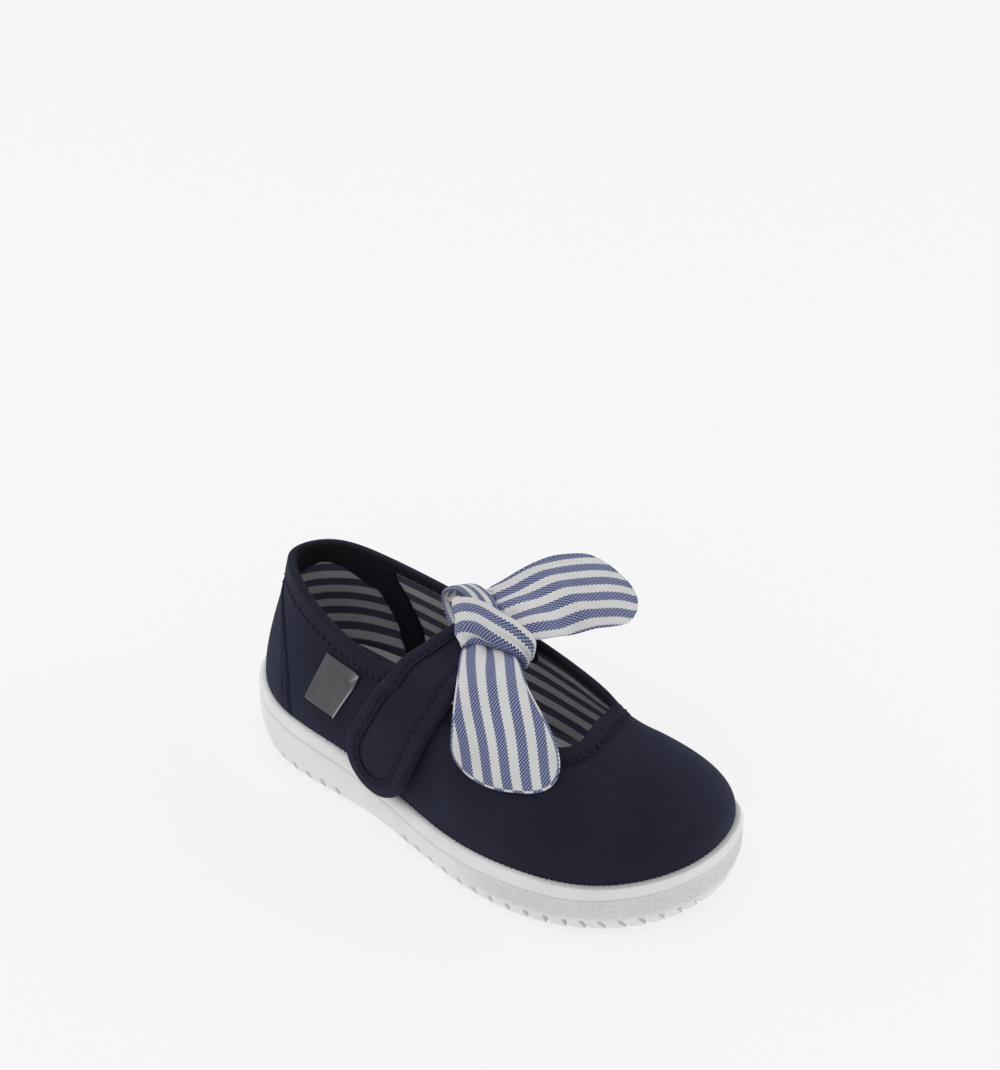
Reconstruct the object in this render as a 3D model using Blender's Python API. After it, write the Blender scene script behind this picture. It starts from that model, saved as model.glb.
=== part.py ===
"""Mary jane shoe for a small child, right foot.

A canvas upper stands in a rubber cup sole. A bound strap crosses the instep from the inner quarter,
and its rounded free end lies on the outer quarter. A cloth tie is knotted round the strap, and its two
tails fall to the front and to the back.

Metres, +Z up, +X to the toe, +Y to the inner (medial) side, where the other foot would be. The origin
lies on the ground under the middle of the heel. The tables are in millimetres, and their x is measured
forward from the back of the heel, as on a last.
"""

from collections import namedtuple
from math import cos, pi, radians, sin

import bmesh
import bpy
import numpy as np

MM = 0.001

# Driving dimensions, in millimetres.
SOLE_LENGTH = 156.0
HEEL_BACK_TO_ORIGIN = 30.0
STATIONS = 84  # sections round the shoe
GAP = 0.35  # left between pieces that meet
MERGE = 0.01  # points nearer than this are one

FLOOR = 8.0  # inside of the cup sole
FOXING_INSET = 2.2  # the canvas stands this far inside the sole's widest outline
FOXING_WALL = FOXING_INSET - GAP
GROUND_INSET = 3.0  # the sole tucks in this far at the ground
TOE_SPRING = 2.7
TOE_SPRING_START = 0.74  # as a part of the sole's length
HEEL_BEVEL = 1.5
HEEL_BEVEL_END = 0.10
WAIST_LIFT = 2.0  # the tread leaves the ground here between the heel pad and the forefoot pad
WAIST_START = 52.0
WAIST_END = 73.5
WAIST_RAMPS = (6.0, 1.5)  # gentle behind, a step in front

LUG_PITCH = 6.2  # lugs along the edge of both pads, parted by narrow notches
NOTCH_PART = 0.26  # of the pitch
NOTCH_FLANK = 0.06  # of the pitch, the run of each slope between lug and notch
NOTCH_HEIGHT = 2.2
NOTCH_DEPTH = 3.2
NOTCH_BACK = 0.3  # run of the slope at the notch's inner end
SPINE = (24.0, 128.0, -1.5)  # the tread's middle line: its two ends and its y
SPINE_STEP = 8.0  # between the points along it, wider than any gap between stations

WALL = 1.8  # canvas with its lining
ROLL = 0.3  # the topline's rolled edge stands this part of the wall above it
PANEL_ROWS = 9  # rows of the upper between the sole and the topline

INSOLE_TOP = 15.5
INSOLE_EDGE = 1.0

STRAP_THICKNESS = 2.2
TAIL_THICKNESS = 2.4

# The last and the topline. sole_x, sole_y: widest outline of the sole. top_x, top_y, top_z: outer edge
# of the collar and throat. rise, belly: how far the canvas first climbs, and swells out, above the sole.
# reach, drop: how far outside and below the topline the canvas comes in towards it.
Last = namedtuple("Last", "sole_x sole_y top_x top_y top_z rise belly reach drop")
LAST = {
    "heel": Last(0, 0.4, 9.0, -0.1, 55.3, 11.8, 1.1, 1.8, 11.8),
    "outer heel corner": Last(9, -16.9, 16.6, -9.1, 55.1, 11.7, 0.0, 1.5, 12.0),
    "outer heel side": Last(26, -25.6, 29.6, -14.3, 51.8, 11.0, 1.6, 2.0, 11.0),
    "outer waist": Last(50, -26.9, 51.0, -17.2, 47.2, 10.0, 1.0, 3.0, 9.0),
    "outer joint": Last(76, -29.9, 73.5, -18.6, 47.0, 10.0, 1.0, 4.0, 8.0),
    "outer ball": Last(104, -33.7, 97.2, -17.5, 44.4, 11.0, 1.0, 7.0, 6.0),
    "outer toe corner": Last(135, -26.5, 115.4, -10.3, 43.3, 13.0, 1.0, 14.0, 4.0),
    "toe": Last(156, 3.2, 116.4, 1.5, 43.2, 14.0, 1.0, 18.2, 4.0),
    "inner toe corner": Last(145, 30.2, 115.0, 10.2, 43.2, 13.0, 1.0, 12.2, 4.4),
    "inner ball": Last(116, 29.5, 110.8, 16.1, 43.7, 11.8, 1.0, 4.4, 8.8),
    "inner joint": Last(86, 28.0, 84.0, 18.5, 48.0, 11.0, 1.0, 4.2, 7.9),
    "inner waist": Last(56, 25.0, 55.8, 17.6, 51.4, 11.0, 1.0, 3.0, 9.0),
    "inner heel side": Last(28, 23.5, 30.0, 15.2, 54.0, 11.0, 1.5, 2.0, 11.0),
    "inner heel corner": Last(9, 16.5, 15.7, 9.1, 56.4, 12.0, 1.6, 1.5, 12.0),
}

# Height of the foxing's top edge along the sole.
Foxing = namedtuple("Foxing", "part height")
FOXING = (
    Foxing(0.00, 19.4),
    Foxing(0.15, 19.5),
    Foxing(0.35, 17.2),
    Foxing(0.55, 14.3),
    Foxing(0.75, 15.8),
    Foxing(0.90, 16.6),
    Foxing(1.00, 19.2),
)

# The side wall of the sole, from the ground up: how far inside the widest outline, and how high as a
# part of the foxing's height there.
Band = namedtuple("Band", "inset part")
SOLE_WALL = (Band(1.0, 0.20), Band(0.0, 0.44), Band(0.0, 0.76), Band(0.5, 0.93), Band(1.2, 1.00))

# The strap's free end is a half disc on the outer quarter, seen from the side.
TAB_X = 67.2
TAB_Z = 27.3
TAB_RADIUS = 12.5
TAB_LEAN = 18.0  # degrees forward of upright, going up
TAB_STAND_OFF = 3.0  # off the quarter at the tip, clear of the foxing's edge
TAB_STAND_OFF_BASE = 2.4  # where the half disc ends
TAB_ANGLES = (14, 38, 63, 90)

# The strap above its half disc, along its lean: how far up, how far off the quarter, and half width.
FLAP_TWIST = 0.6  # of the lean, kept by the lines across the flap
Flap = namedtuple("Flap", "up clear half")
FLAP = (Flap(9.5, 1.7, 12.3), Flap(16.5, 0.9, 11.5))

# The strap between its free end and the inner quarter. centre: x, y and z of its middle; half: half width.
Strap = namedtuple("Strap", "x y z half")
STRAP = (
    Strap(73.5, -20.7, 47.2, 10.6),
    Strap(73.8, -17.4, 50.1, 10.2),
    Strap(74.5, -10.5, 51.9, 9.8),
    Strap(75.8, -2.0, 53.9, 9.2),
    Strap(76.6, 6.0, 54.6, 8.8),
    Strap(76.0, 11.0, 53.2, 9.0),
    Strap(75.0, 13.8, 50.3, 9.3),
)
TUCK_DEPTHS = (45.0, 40.5)  # heights of the strap's sewn end, inside the inner quarter
TUCK_X = 74.2
TUCK_HALF = 9.3
TUCK_CLEAR = 0.5
STRAP_ACROSS = 7  # points across the strap
STRAP_ALONG = 24  # rows between its half disc and its sewn end

# The knot is a ring round the strap, thin below it and full above it, seen along Y.
KNOT_HOLE = (10.2, 2.0)  # half sizes
KNOT_CENTRE = (77.7, 5.0, 56.0)
KNOT_HALF = (13.9, 7.4, 7.9)
KNOT_HOLE_CORNER = 0.45  # 1 makes an ellipse, and less a squarer shape
KNOT_SKIN_CORNER = 0.6
KNOT_EDGE_CORNER = 0.8
KNOT_TURNS = 30
KNOT_SECTION = 12

# A tail of the tie: its two edges, row by row from the knot to the round end, and how far its middle is
# bowed out of the straight line between them.
Tail = namedtuple("Tail", "ax ay az bx by bz bow")
FRONT_TAIL = (
    Tail(77.5, -3.1, 59.6, 91.0, -3.1, 59.6, 0.8),
    Tail(78.5, -10.0, 58.4, 96.0, -7.5, 58.0, 1.5),
    Tail(82.2, -18.0, 54.8, 102.0, -11.0, 55.0, 2.0),
    Tail(86.8, -24.2, 48.3, 109.0, -14.0, 51.8, 1.5),
    Tail(90.4, -27.2, 42.3, 115.2, -15.8, 48.6, 1.0),
    Tail(93.5, -29.0, 38.6, 119.6, -18.5, 45.6, 0.6),
    Tail(97.0, -30.3, 36.6, 120.6, -21.5, 43.0, 0.4),
    Tail(103.0, -30.2, 36.4, 118.8, -25.0, 41.0, 0.2),
)
BACK_TAIL = (
    Tail(88.0, 12.9, 58.8, 73.5, 12.9, 61.4, 0.5),
    Tail(91.2, 17.8, 55.8, 72.0, 24.5, 64.2, 1.2),
    Tail(93.8, 22.8, 53.2, 73.0, 32.0, 63.6, 1.6),
    Tail(96.0, 29.0, 51.0, 74.8, 39.6, 61.8, 1.6),
    Tail(97.5, 36.0, 49.3, 78.2, 46.2, 58.6, 1.2),
    Tail(97.6, 41.5, 48.2, 82.7, 49.8, 54.8, 0.8),
    Tail(95.8, 45.5, 48.0, 88.5, 50.0, 51.2, 0.3),
)
TAIL_SECTION = 12

Finish = namedtuple("Finish", "red green blue roughness")
FINISHES = {
    "sole_rubber": Finish(0.78, 0.78, 0.75, 0.55),
    "canvas": Finish(0.018, 0.020, 0.045, 0.90),
    "insole_cloth": Finish(0.25, 0.26, 0.30, 0.90),
    "strap_canvas": Finish(0.018, 0.020, 0.045, 0.90),
    "bow_cloth": Finish(0.45, 0.47, 0.60, 0.85),
}


def clear_scene():
    for obj in list(bpy.data.objects):
        bpy.data.objects.remove(obj, do_unlink=True)


def finish(name):
    """The named material, made at its first use."""
    found = bpy.data.materials.get(name)
    if found:
        return found
    made = bpy.data.materials.new(name)
    made.use_nodes = True
    shader = made.node_tree.nodes["Principled BSDF"]
    look = FINISHES[name]
    shader.inputs["Base Color"].default_value = (look.red, look.green, look.blue, 1.0)
    shader.inputs["Roughness"].default_value = look.roughness
    shader.inputs["Metallic"].default_value = 0.0
    return made


def second_differences(steps, rows, closed):
    """The second derivatives, at the knots, of the cubic spline through the rows."""
    count = len(rows)
    system = np.eye(count)
    right = np.zeros_like(rows)
    for i in range(count) if closed else range(1, count - 1):
        before, after = (i - 1) % count, (i + 1) % count
        system[i] = 0
        system[i, before] += steps[before]
        system[i, i] += 2 * (steps[before] + steps[i])
        system[i, after] += steps[i]
        right[i] = 6 * ((rows[after] - rows[i]) / steps[i] - (rows[i] - rows[before]) / steps[before])
    return np.linalg.solve(system, right)


def spline(knots, rows, at, closed=False):
    """The cubic spline through rows, which stand at knots, read at the places in at. A closed one has
    one knot more than rows."""
    rows = np.asarray(rows, float)
    steps = np.diff(knots)
    bends = second_differences(steps, rows, closed)
    i = np.clip(np.searchsorted(knots, at, side="right") - 1, 0, len(steps) - 1)
    j = (i + 1) % len(rows)
    back = (np.asarray(at) - knots[i])[:, None]
    ahead = (knots[i + 1] - np.asarray(at))[:, None]
    step = steps[i][:, None]
    curve = (bends[i] * ahead**3 + bends[j] * back**3) / (6 * step)
    line = (rows[i] / step - bends[i] * step / 6) * ahead + (rows[j] / step - bends[j] * step / 6) * back
    return curve + line


def round_the_shoe(count):
    """The last's columns at count stations, evenly spaced round the sole's outline."""
    rows = np.array(list(LAST.values()), float)
    legs = np.linalg.norm((np.roll(rows, -1, axis=0) - rows)[:, :2], axis=1)
    knots = np.concatenate([[0.0], np.cumsum(legs)])
    places = np.linspace(0.0, knots[-1], count, endpoint=False)
    return Last(*spline(knots, rows, places, closed=True).T)


def outward(outline):
    """Unit normals of a closed outline in plan, pointing out. It runs round by the outer side first."""
    along = np.roll(outline, -1, axis=0) - np.roll(outline, 1, axis=0)
    along /= np.linalg.norm(along, axis=1)[:, None]
    return np.stack([along[:, 1], -along[:, 0]], axis=1)


def foxing_height(x):
    knots = np.array([row.part for row in FOXING]) * SOLE_LENGTH
    heights = np.array([[row.height] for row in FOXING])
    return spline(knots, heights, np.clip(x, 0, SOLE_LENGTH))[:, 0]


def ground_height(x):
    """The sole's underside: flat, but for the toe spring and a small bevel at the heel."""
    part = x / SOLE_LENGTH
    toe = np.clip((part - TOE_SPRING_START) / (1 - TOE_SPRING_START), 0, 1)
    heel = np.clip((HEEL_BEVEL_END - part) / HEEL_BEVEL_END, 0, 1)
    return TOE_SPRING * toe**2 + HEEL_BEVEL * heel**2


def waist(x):
    """0 under heel and forefoot, 1 at the waist between them."""
    rising = np.clip((x - WAIST_START) / WAIST_RAMPS[0], 0, 1)
    falling = np.clip((WAIST_END - x) / WAIST_RAMPS[1], 0, 1)
    return rising * falling


def level(outline, inset, height):
    """A ring inside the outline by inset, at a height that is one number or one for each station."""
    plan = outline - outward(outline) * inset
    return np.column_stack([plan, np.broadcast_to(height, len(plan))])


def solid(name, rings, look, wrap=False, folded=False):
    """A closed body through closed rings of equal length, in millimetres. wrap joins the last ring to
    the first; without it both ends are filled. A folded first ring runs out and back along one line, so
    its points are merged in place of a filling."""
    mesh = bpy.data.meshes.new(name)
    shape = bmesh.new()
    offset = np.array([HEEL_BACK_TO_ORIGIN, 0.0, 0.0])
    loops = [[shape.verts.new((point - offset) * MM) for point in ring] for ring in rings]
    pairs = list(zip(loops, loops[1:] + loops[:1])) if wrap else list(zip(loops, loops[1:]))
    for low, high in pairs:
        for i in range(len(low)):
            j = (i + 1) % len(low)
            shape.faces.new((low[i], low[j], high[j], high[i]))
    if not wrap:
        shape.faces.new(loops[-1])
    if folded:
        bmesh.ops.remove_doubles(shape, verts=loops[0], dist=MERGE * MM)
    elif not wrap:
        shape.faces.new(loops[0][::-1])
    bmesh.ops.triangulate(shape, faces=shape.faces[:])
    bmesh.ops.recalc_face_normals(shape, faces=shape.faces[:])
    shape.to_mesh(mesh)
    shape.free()
    mesh.shade_smooth()
    mesh.set_sharp_from_angle(angle=radians(40))
    mesh.materials.append(finish(look))
    obj = bpy.data.objects.new(name, mesh)
    bpy.context.scene.collection.objects.link(obj)
    return obj


def lug_stations(length):
    """Places round an outline of this length, as parts of it, and whether each is in a notch. A lug and
    a notch have two places each, so that their flanks are steep."""
    count = round(length / LUG_PITCH)
    pitch = np.array([0.0, 1 - NOTCH_PART - NOTCH_FLANK, 1 - NOTCH_PART, 1 - NOTCH_FLANK])
    places = (np.arange(count)[:, None] + pitch).ravel() / count
    return places, np.tile([False, False, True, True], count)


def make_outsole():
    """Cup sole: flat pads under heel and forefoot with notched edges, side wall, rounded lip, floor."""
    fine = round_the_shoe(3000)
    outline = np.stack([fine.sole_x, fine.sole_y], axis=1)
    length = np.linalg.norm(np.roll(outline, -1, axis=0) - outline, axis=1).sum()
    places, notch = lug_stations(length)
    outline = outline[np.round(places * len(outline)).astype(int)]
    x = outline[:, 0]
    ground = ground_height(x)
    top = foxing_height(x)
    tread = ground + WAIST_LIFT * waist(x)
    edge = np.where(notch, np.maximum(ground + NOTCH_HEIGHT, tread), tread)
    along = SPINE[0] + SPINE_STEP * np.round((np.clip(x, SPINE[0], SPINE[1]) - SPINE[0]) / SPINE_STEP)
    under = ground_height(along) + WAIST_LIFT * waist(along)
    rings = [
        np.column_stack([along, np.full_like(along, SPINE[2]), under]),
        level(outline, GROUND_INSET + NOTCH_DEPTH + NOTCH_BACK, tread),
        level(outline, GROUND_INSET + NOTCH_DEPTH, edge),
        level(outline, GROUND_INSET, edge),
    ]
    for band in SOLE_WALL:
        rings.append(level(outline, band.inset, ground + (top - ground) * band.part))
    rings.append(level(outline, FOXING_WALL, top))
    rings.append(level(outline, FOXING_WALL, FLOOR))
    return solid("outsole", rings, "sole_rubber", folded=True)


def panel(last, rows):
    """The outer face of the upper, as rows of stations: a cubic Bezier from the feather edge, at the
    top of the foxing, to the topline."""
    outline = np.stack([last.sole_x, last.sole_y], axis=1)
    normal = outward(outline)
    feather = level(outline, FOXING_INSET, foxing_height(last.sole_x))
    topline = np.stack([last.top_x, last.top_y, last.top_z], axis=1)
    inward = topline[:, :2] - feather[:, :2]
    inward /= np.linalg.norm(inward, axis=1)[:, None]
    climb = feather + np.column_stack([normal * last.belly[:, None], last.rise])
    arrive = topline - np.column_stack([inward * last.reach[:, None], last.drop])
    faces = []
    for t in np.linspace(0.0, 1.0, rows):
        weights = (1 - t) ** 3, 3 * (1 - t) ** 2 * t, 3 * (1 - t) * t**2, t**3
        faces.append(sum(w * p for w, p in zip(weights, (feather, climb, arrive, topline))))
    return np.array(faces)


def face_normals(grid):
    """Unit normals, pointing out, of a closed band given as rows of stations."""
    round_it = np.roll(grid, -1, axis=1) - np.roll(grid, 1, axis=1)
    up_it = np.gradient(grid, axis=0)
    normal = np.cross(round_it, up_it)
    return normal / np.linalg.norm(normal, axis=2)[:, :, None]


def make_upper():
    """One band of canvas with its lining: outer face, rolled topline, inner face, and a lower edge
    that stands on the floor of the cup."""
    last = round_the_shoe(STATIONS)
    outline = np.stack([last.sole_x, last.sole_y], axis=1)
    outer = panel(last, PANEL_ROWS)
    normal = face_normals(outer)
    inner = outer - normal * WALL
    inner[0] = level(outline, FOXING_INSET + WALL, outer[0][:, 2])
    rim = (outer[-1] + inner[-1]) / 2
    rim[:, 2] += ROLL * WALL
    foot = FLOOR + GAP
    rings = [level(outline, FOXING_INSET, foot), *outer, rim, *inner[::-1]]
    rings.append(level(outline, FOXING_INSET + WALL, foot))
    solid("upper", rings, "canvas", wrap=True)
    return outer, inner


def make_insole():
    """A thick pad with a rounded upper edge, between the walls of the upper."""
    last = round_the_shoe(STATIONS)
    outline = np.stack([last.sole_x, last.sole_y], axis=1)
    inset = FOXING_INSET + WALL + GAP
    rings = [
        level(outline, inset + 0.5, FLOOR + GAP),
        level(outline, inset, FLOOR + GAP + 0.5),
        level(outline, inset, INSOLE_TOP - INSOLE_EDGE),
        level(outline, inset + 0.4 * INSOLE_EDGE, INSOLE_TOP - 0.3 * INSOLE_EDGE),
        level(outline, inset + INSOLE_EDGE, INSOLE_TOP),
    ]
    return solid("insole", rings, "insole_cloth")


def wall_y(face, side, x, z):
    """y of a face of the upper, on the outer side (-1) or the inner side (1), where x and z are as
    given: along each station first, then from station to station."""
    beside = [s for s in range(face.shape[1]) if face[0, s, 1] * side > 15 and 20 < face[0, s, 0] < 118]
    xs = np.array([np.interp(z, face[:, s, 2], face[:, s, 0]) for s in beside])
    ys = np.array([np.interp(z, face[:, s, 2], face[:, s, 1]) for s in beside])
    order = np.argsort(xs)
    return float(np.interp(x, xs[order], ys[order]))


def strap_rows(outer, inner, across):
    """Rows of points on the strap's middle surface, from its free end to its sewn end."""
    lean = radians(TAB_LEAN)
    rows = []
    for angle in TAB_ANGLES:
        back = TAB_RADIUS * cos(radians(angle))
        half = TAB_RADIUS * sin(radians(angle))
        clear = TAB_STAND_OFF_BASE + (TAB_STAND_OFF - TAB_STAND_OFF_BASE) * back / TAB_RADIUS
        row = []
        for t in across:
            x = TAB_X - back * sin(lean) + t * half * cos(lean)
            z = TAB_Z - back * cos(lean) - t * half * sin(lean)
            row.append((x, wall_y(outer, -1, x, z) - clear - STRAP_THICKNESS / 2, z))
        rows.append(row)
    for place in FLAP:
        row = []
        for t in across:
            x = TAB_X + place.up * sin(lean) + t * place.half * cos(lean)
            z = TAB_Z + place.up * cos(lean) - t * place.half * sin(lean) * FLAP_TWIST
            row.append((x, wall_y(outer, -1, x, z) - place.clear - STRAP_THICKNESS / 2, z))
        rows.append(row)
    for place in STRAP:
        rows.append([(place.x + t * place.half, place.y, place.z) for t in across])
    for z in TUCK_DEPTHS:
        row = []
        for t in across:
            x = TUCK_X + t * TUCK_HALF
            row.append((x, wall_y(inner, 1, x, z) - TUCK_CLEAR - STRAP_THICKNESS / 2, z))
        rows.append(row)
    return np.array(rows)


def make_strap(outer, inner):
    across = np.linspace(-1.0, 1.0, STRAP_ACROSS)
    rows = strap_rows(outer, inner, across)
    legs = np.linalg.norm(np.diff(rows[:, STRAP_ACROSS // 2], axis=0), axis=1)
    knots = np.concatenate([[0.0], np.cumsum(legs)])
    disc = len(TAB_ANGLES)
    rest = np.linspace(knots[disc - 1], knots[-1], STRAP_ALONG)[1:]
    places = np.concatenate([knots[:disc], rest])
    flat = spline(knots, rows.reshape(len(rows), -1), places)
    middle = flat.reshape(len(places), len(across), 3)
    along = np.gradient(middle, axis=0)
    sideways = np.gradient(middle, axis=1)
    normal = np.cross(sideways, along)
    normal /= np.linalg.norm(normal, axis=2)[:, :, None]
    half = STRAP_THICKNESS / 2
    rings = [np.concatenate([m + n * half, (m - n * half)[::-1]]) for m, n in zip(middle, normal)]
    return solid("strap", rings, "strap_canvas")


def squared(value, power):
    return np.sign(value) * np.abs(value) ** power


def make_knot():
    """A ring round the strap. Each section is a flattened loop between the hole and the outside."""
    strap_y = [place.y for place in STRAP]
    turn = np.linspace(0, 2 * pi, KNOT_TURNS, endpoint=False)
    section = np.linspace(0, 2 * pi, KNOT_SECTION, endpoint=False)
    hole_x = KNOT_HOLE[0] * squared(np.cos(turn), KNOT_HOLE_CORNER)
    hole_z = KNOT_HOLE[1] * squared(np.sin(turn), KNOT_HOLE_CORNER)
    skin_x = KNOT_CENTRE[0] + KNOT_HALF[0] * squared(np.cos(turn), KNOT_SKIN_CORNER)
    skin_z = KNOT_CENTRE[2] + KNOT_HALF[2] * squared(np.sin(turn), KNOT_SKIN_CORNER)
    rings = []
    for angle in section:
        out = 0.5 + 0.5 * squared(sin(angle), KNOT_EDGE_CORNER)
        y = KNOT_CENTRE[1] + KNOT_HALF[1] * squared(cos(angle), KNOT_EDGE_CORNER)
        strap_x = np.interp(y, strap_y, [place.x for place in STRAP])
        strap_z = np.interp(y, strap_y, [place.z for place in STRAP])
        x = (strap_x + hole_x) * (1 - out) + skin_x * out
        z = (strap_z + hole_z) * (1 - out) + skin_z * out
        rings.append(np.column_stack([x, np.full_like(x, y), z]))
    return solid("bow_knot", rings, "bow_cloth", wrap=True)


def make_tail(name, table):
    """A flat bag of cloth between two edges, with a lens section and a closed, rounded end."""
    rows = np.array(table, float)
    knots = np.arange(len(rows), dtype=float)
    fine = spline(knots, rows, np.linspace(0, knots[-1], 2 * len(rows) - 1))
    left, right, bow = fine[:, 0:3], fine[:, 3:6], fine[:, 6]
    along = np.gradient((left + right) / 2, axis=0)
    normal = np.cross(right - left, along)
    normal /= np.linalg.norm(normal, axis=1)[:, None]
    turn = np.linspace(0, 2 * pi, TAIL_SECTION, endpoint=False)
    across = (1 - np.cos(turn)) / 2
    thick = np.sin(turn) * TAIL_THICKNESS / 2
    rings = []
    for a, b, n, lift in zip(left, right, normal, bow):
        crown = lift * (1 - (2 * across - 1) ** 2)
        rings.append(a + np.outer(across, b - a) + np.outer(thick + crown, n))
    return solid(name, rings, "bow_cloth")


def main():
    clear_scene()
    make_outsole()
    make_insole()
    outer, inner = make_upper()
    make_strap(outer, inner)
    make_knot()
    make_tail("bow_tail_front", FRONT_TAIL)
    make_tail("bow_tail_back", BACK_TAIL)


main()
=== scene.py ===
"""Looks of a mary jane shoe for a small child, right foot, built on its CAD frame.

The tables are in millimetres, and their x is measured forward from the back of the heel, as on a last.
skin() turns them into metres in the frame: +Z up, +X to the toe, +Y to the inner (medial) side.
"""

from collections import namedtuple
from math import cos, pi, radians, sin

import bpy
import numpy as np
from mathutils import Matrix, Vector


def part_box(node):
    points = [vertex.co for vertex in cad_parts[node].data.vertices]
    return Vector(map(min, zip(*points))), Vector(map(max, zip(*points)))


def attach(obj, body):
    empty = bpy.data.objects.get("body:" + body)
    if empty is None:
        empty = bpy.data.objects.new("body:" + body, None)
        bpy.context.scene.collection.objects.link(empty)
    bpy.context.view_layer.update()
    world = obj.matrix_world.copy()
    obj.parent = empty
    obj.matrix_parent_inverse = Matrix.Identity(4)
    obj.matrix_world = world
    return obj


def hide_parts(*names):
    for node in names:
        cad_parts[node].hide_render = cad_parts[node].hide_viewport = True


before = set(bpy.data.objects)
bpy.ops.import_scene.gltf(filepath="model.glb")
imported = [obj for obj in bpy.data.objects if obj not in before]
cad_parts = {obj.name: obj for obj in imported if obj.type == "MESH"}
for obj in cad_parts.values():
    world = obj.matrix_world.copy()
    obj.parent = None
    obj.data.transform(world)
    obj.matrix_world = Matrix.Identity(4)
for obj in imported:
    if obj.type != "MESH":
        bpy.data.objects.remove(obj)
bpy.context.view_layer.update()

bl_info = {
    "name": "Mary jane shoe",
    "version": (1, 0, 0),
    "blender": (4, 5, 0),
    "location": "View3D > Sidebar > Shoe",
    "description": "Makes the rubber, cloth and trim of a small mary jane shoe on its CAD frame",
    "category": "Add Mesh",
}

MM = 0.001
UV_PER_MM = 0.01  # a piece's uv map holds its flat cloth at this scale
HEEL_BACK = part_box("outsole")[0].x / MM  # the frame's x at the back of the heel
SOLE_LENGTH = (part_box("outsole")[1].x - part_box("outsole")[0].x) / MM
INSOLE_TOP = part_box("insole")[1].z / MM
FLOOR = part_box("insole")[0].z / MM

# The last and the topline. sole_x, sole_y: widest outline of the sole. top_x, top_y, top_z: outer edge
# of the collar and throat. rise, belly: how far the canvas first climbs, and swells out, above the sole.
# reach, drop: how far outside and below the topline the canvas comes in towards it. The rows run round
# the shoe from the back of the heel, by the outer side first.
Last = namedtuple("Last", "sole_x sole_y top_x top_y top_z rise belly reach drop")
LAST = (
    Last(0, 0.4, 9.0, -0.1, 55.3, 11.8, 1.1, 1.8, 11.8),
    Last(9, -16.9, 16.6, -9.1, 55.1, 11.7, 0.0, 1.5, 12.0),
    Last(26, -25.6, 29.6, -14.3, 51.8, 11.0, 1.6, 2.0, 11.0),
    Last(50, -26.9, 51.0, -17.2, 47.2, 10.0, 1.0, 3.0, 9.0),
    Last(76, -29.9, 73.5, -18.6, 47.0, 10.0, 1.0, 4.0, 8.0),
    Last(104, -33.7, 97.2, -17.5, 44.4, 11.0, 1.0, 7.0, 6.0),
    Last(135, -26.5, 115.4, -10.3, 43.3, 13.0, 1.0, 14.0, 4.0),
    Last(156, 3.2, 116.4, 1.5, 43.2, 14.0, 1.0, 18.2, 4.0),
    Last(145, 30.2, 115.0, 10.2, 43.2, 13.0, 1.0, 12.2, 4.4),
    Last(116, 29.5, 110.8, 16.1, 43.7, 11.8, 1.0, 4.4, 8.8),
    Last(86, 28.0, 84.0, 18.5, 48.0, 11.0, 1.0, 4.2, 7.9),
    Last(56, 25.0, 55.8, 17.6, 51.4, 11.0, 1.0, 3.0, 9.0),
    Last(28, 23.5, 30.0, 15.2, 54.0, 11.0, 1.5, 2.0, 11.0),
    Last(9, 16.5, 15.7, 9.1, 56.4, 12.0, 1.6, 1.5, 12.0),
)
# Height of the rubber's top edge at parts of the last's length.
FOXING = ((0, 19.4), (0.15, 19.5), (0.35, 17.2), (0.55, 14.3), (0.75, 15.8), (0.90, 16.6), (1, 19.2))
LAST_LENGTH = 156.0
FOXING_INSET = 2.2  # the canvas stands this far inside the sole's widest outline
WALL = 1.8  # thickness of the canvas with its lining
DIAGONAL = 0.70711  # half the diagonal of a square with sides of 1


# ---------------------------------------------------------------- shapes


def second_differences(steps, rows, closed):
    """The second derivatives, at the knots, of the cubic spline through the rows."""
    count = len(rows)
    system = np.eye(count)
    right = np.zeros_like(rows)
    for i in range(count) if closed else range(1, count - 1):
        before, after = (i - 1) % count, (i + 1) % count
        system[i] = 0
        system[i, before] += steps[before]
        system[i, i] += 2 * (steps[before] + steps[i])
        system[i, after] += steps[i]
        right[i] = 6 * ((rows[after] - rows[i]) / steps[i] - (rows[i] - rows[before]) / steps[before])
    return np.linalg.solve(system, right)


def spline(knots, rows, at, closed=False):
    """The cubic spline through rows, which stand at knots, read at the places in at, an array of any
    shape. A closed one has one knot more than rows."""
    knots = np.asarray(knots, float)
    rows = np.asarray(rows, float)
    at = np.asarray(at, float)
    places = at.ravel()
    flat = rows.reshape(len(rows), -1)
    steps = np.diff(knots)
    bends = second_differences(steps, flat, closed)
    i = np.clip(np.searchsorted(knots, places, side="right") - 1, 0, len(steps) - 1)
    j = (i + 1) % len(rows)
    back = (places - knots[i])[:, None]
    ahead = (knots[i + 1] - places)[:, None]
    step = steps[i][:, None]
    curve = (bends[i] * ahead**3 + bends[j] * back**3) / (6 * step)
    line = (flat[i] / step - bends[i] * step / 6) * ahead + (flat[j] / step - bends[j] * step / 6) * back
    return (curve + line).reshape(at.shape + rows.shape[1:])


def chords(rows):
    """The distance along a line of points at each of them. Axes between the first and the last hold as
    many lines."""
    steps = np.linalg.norm(np.diff(np.asarray(rows, float), axis=0), axis=-1)
    return np.concatenate([np.zeros_like(steps[:1]), np.cumsum(steps, axis=0)])


def curve(rows, at):
    """A smooth line through points, read at parts 0 to 1 of its length."""
    knots = chords(rows)
    return spline(knots / knots[-1], rows, at)


def smooth(low, high, x):
    """0 below low, 1 above high, and 3t^2 - 2t^3 between them."""
    t = np.clip((x - low) / (high - low), 0.0, 1.0)
    return t * t * (3 - 2 * t)


def unit(v):
    """v at length 1."""
    return v / np.linalg.norm(v, axis=-1, keepdims=True)


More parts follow.
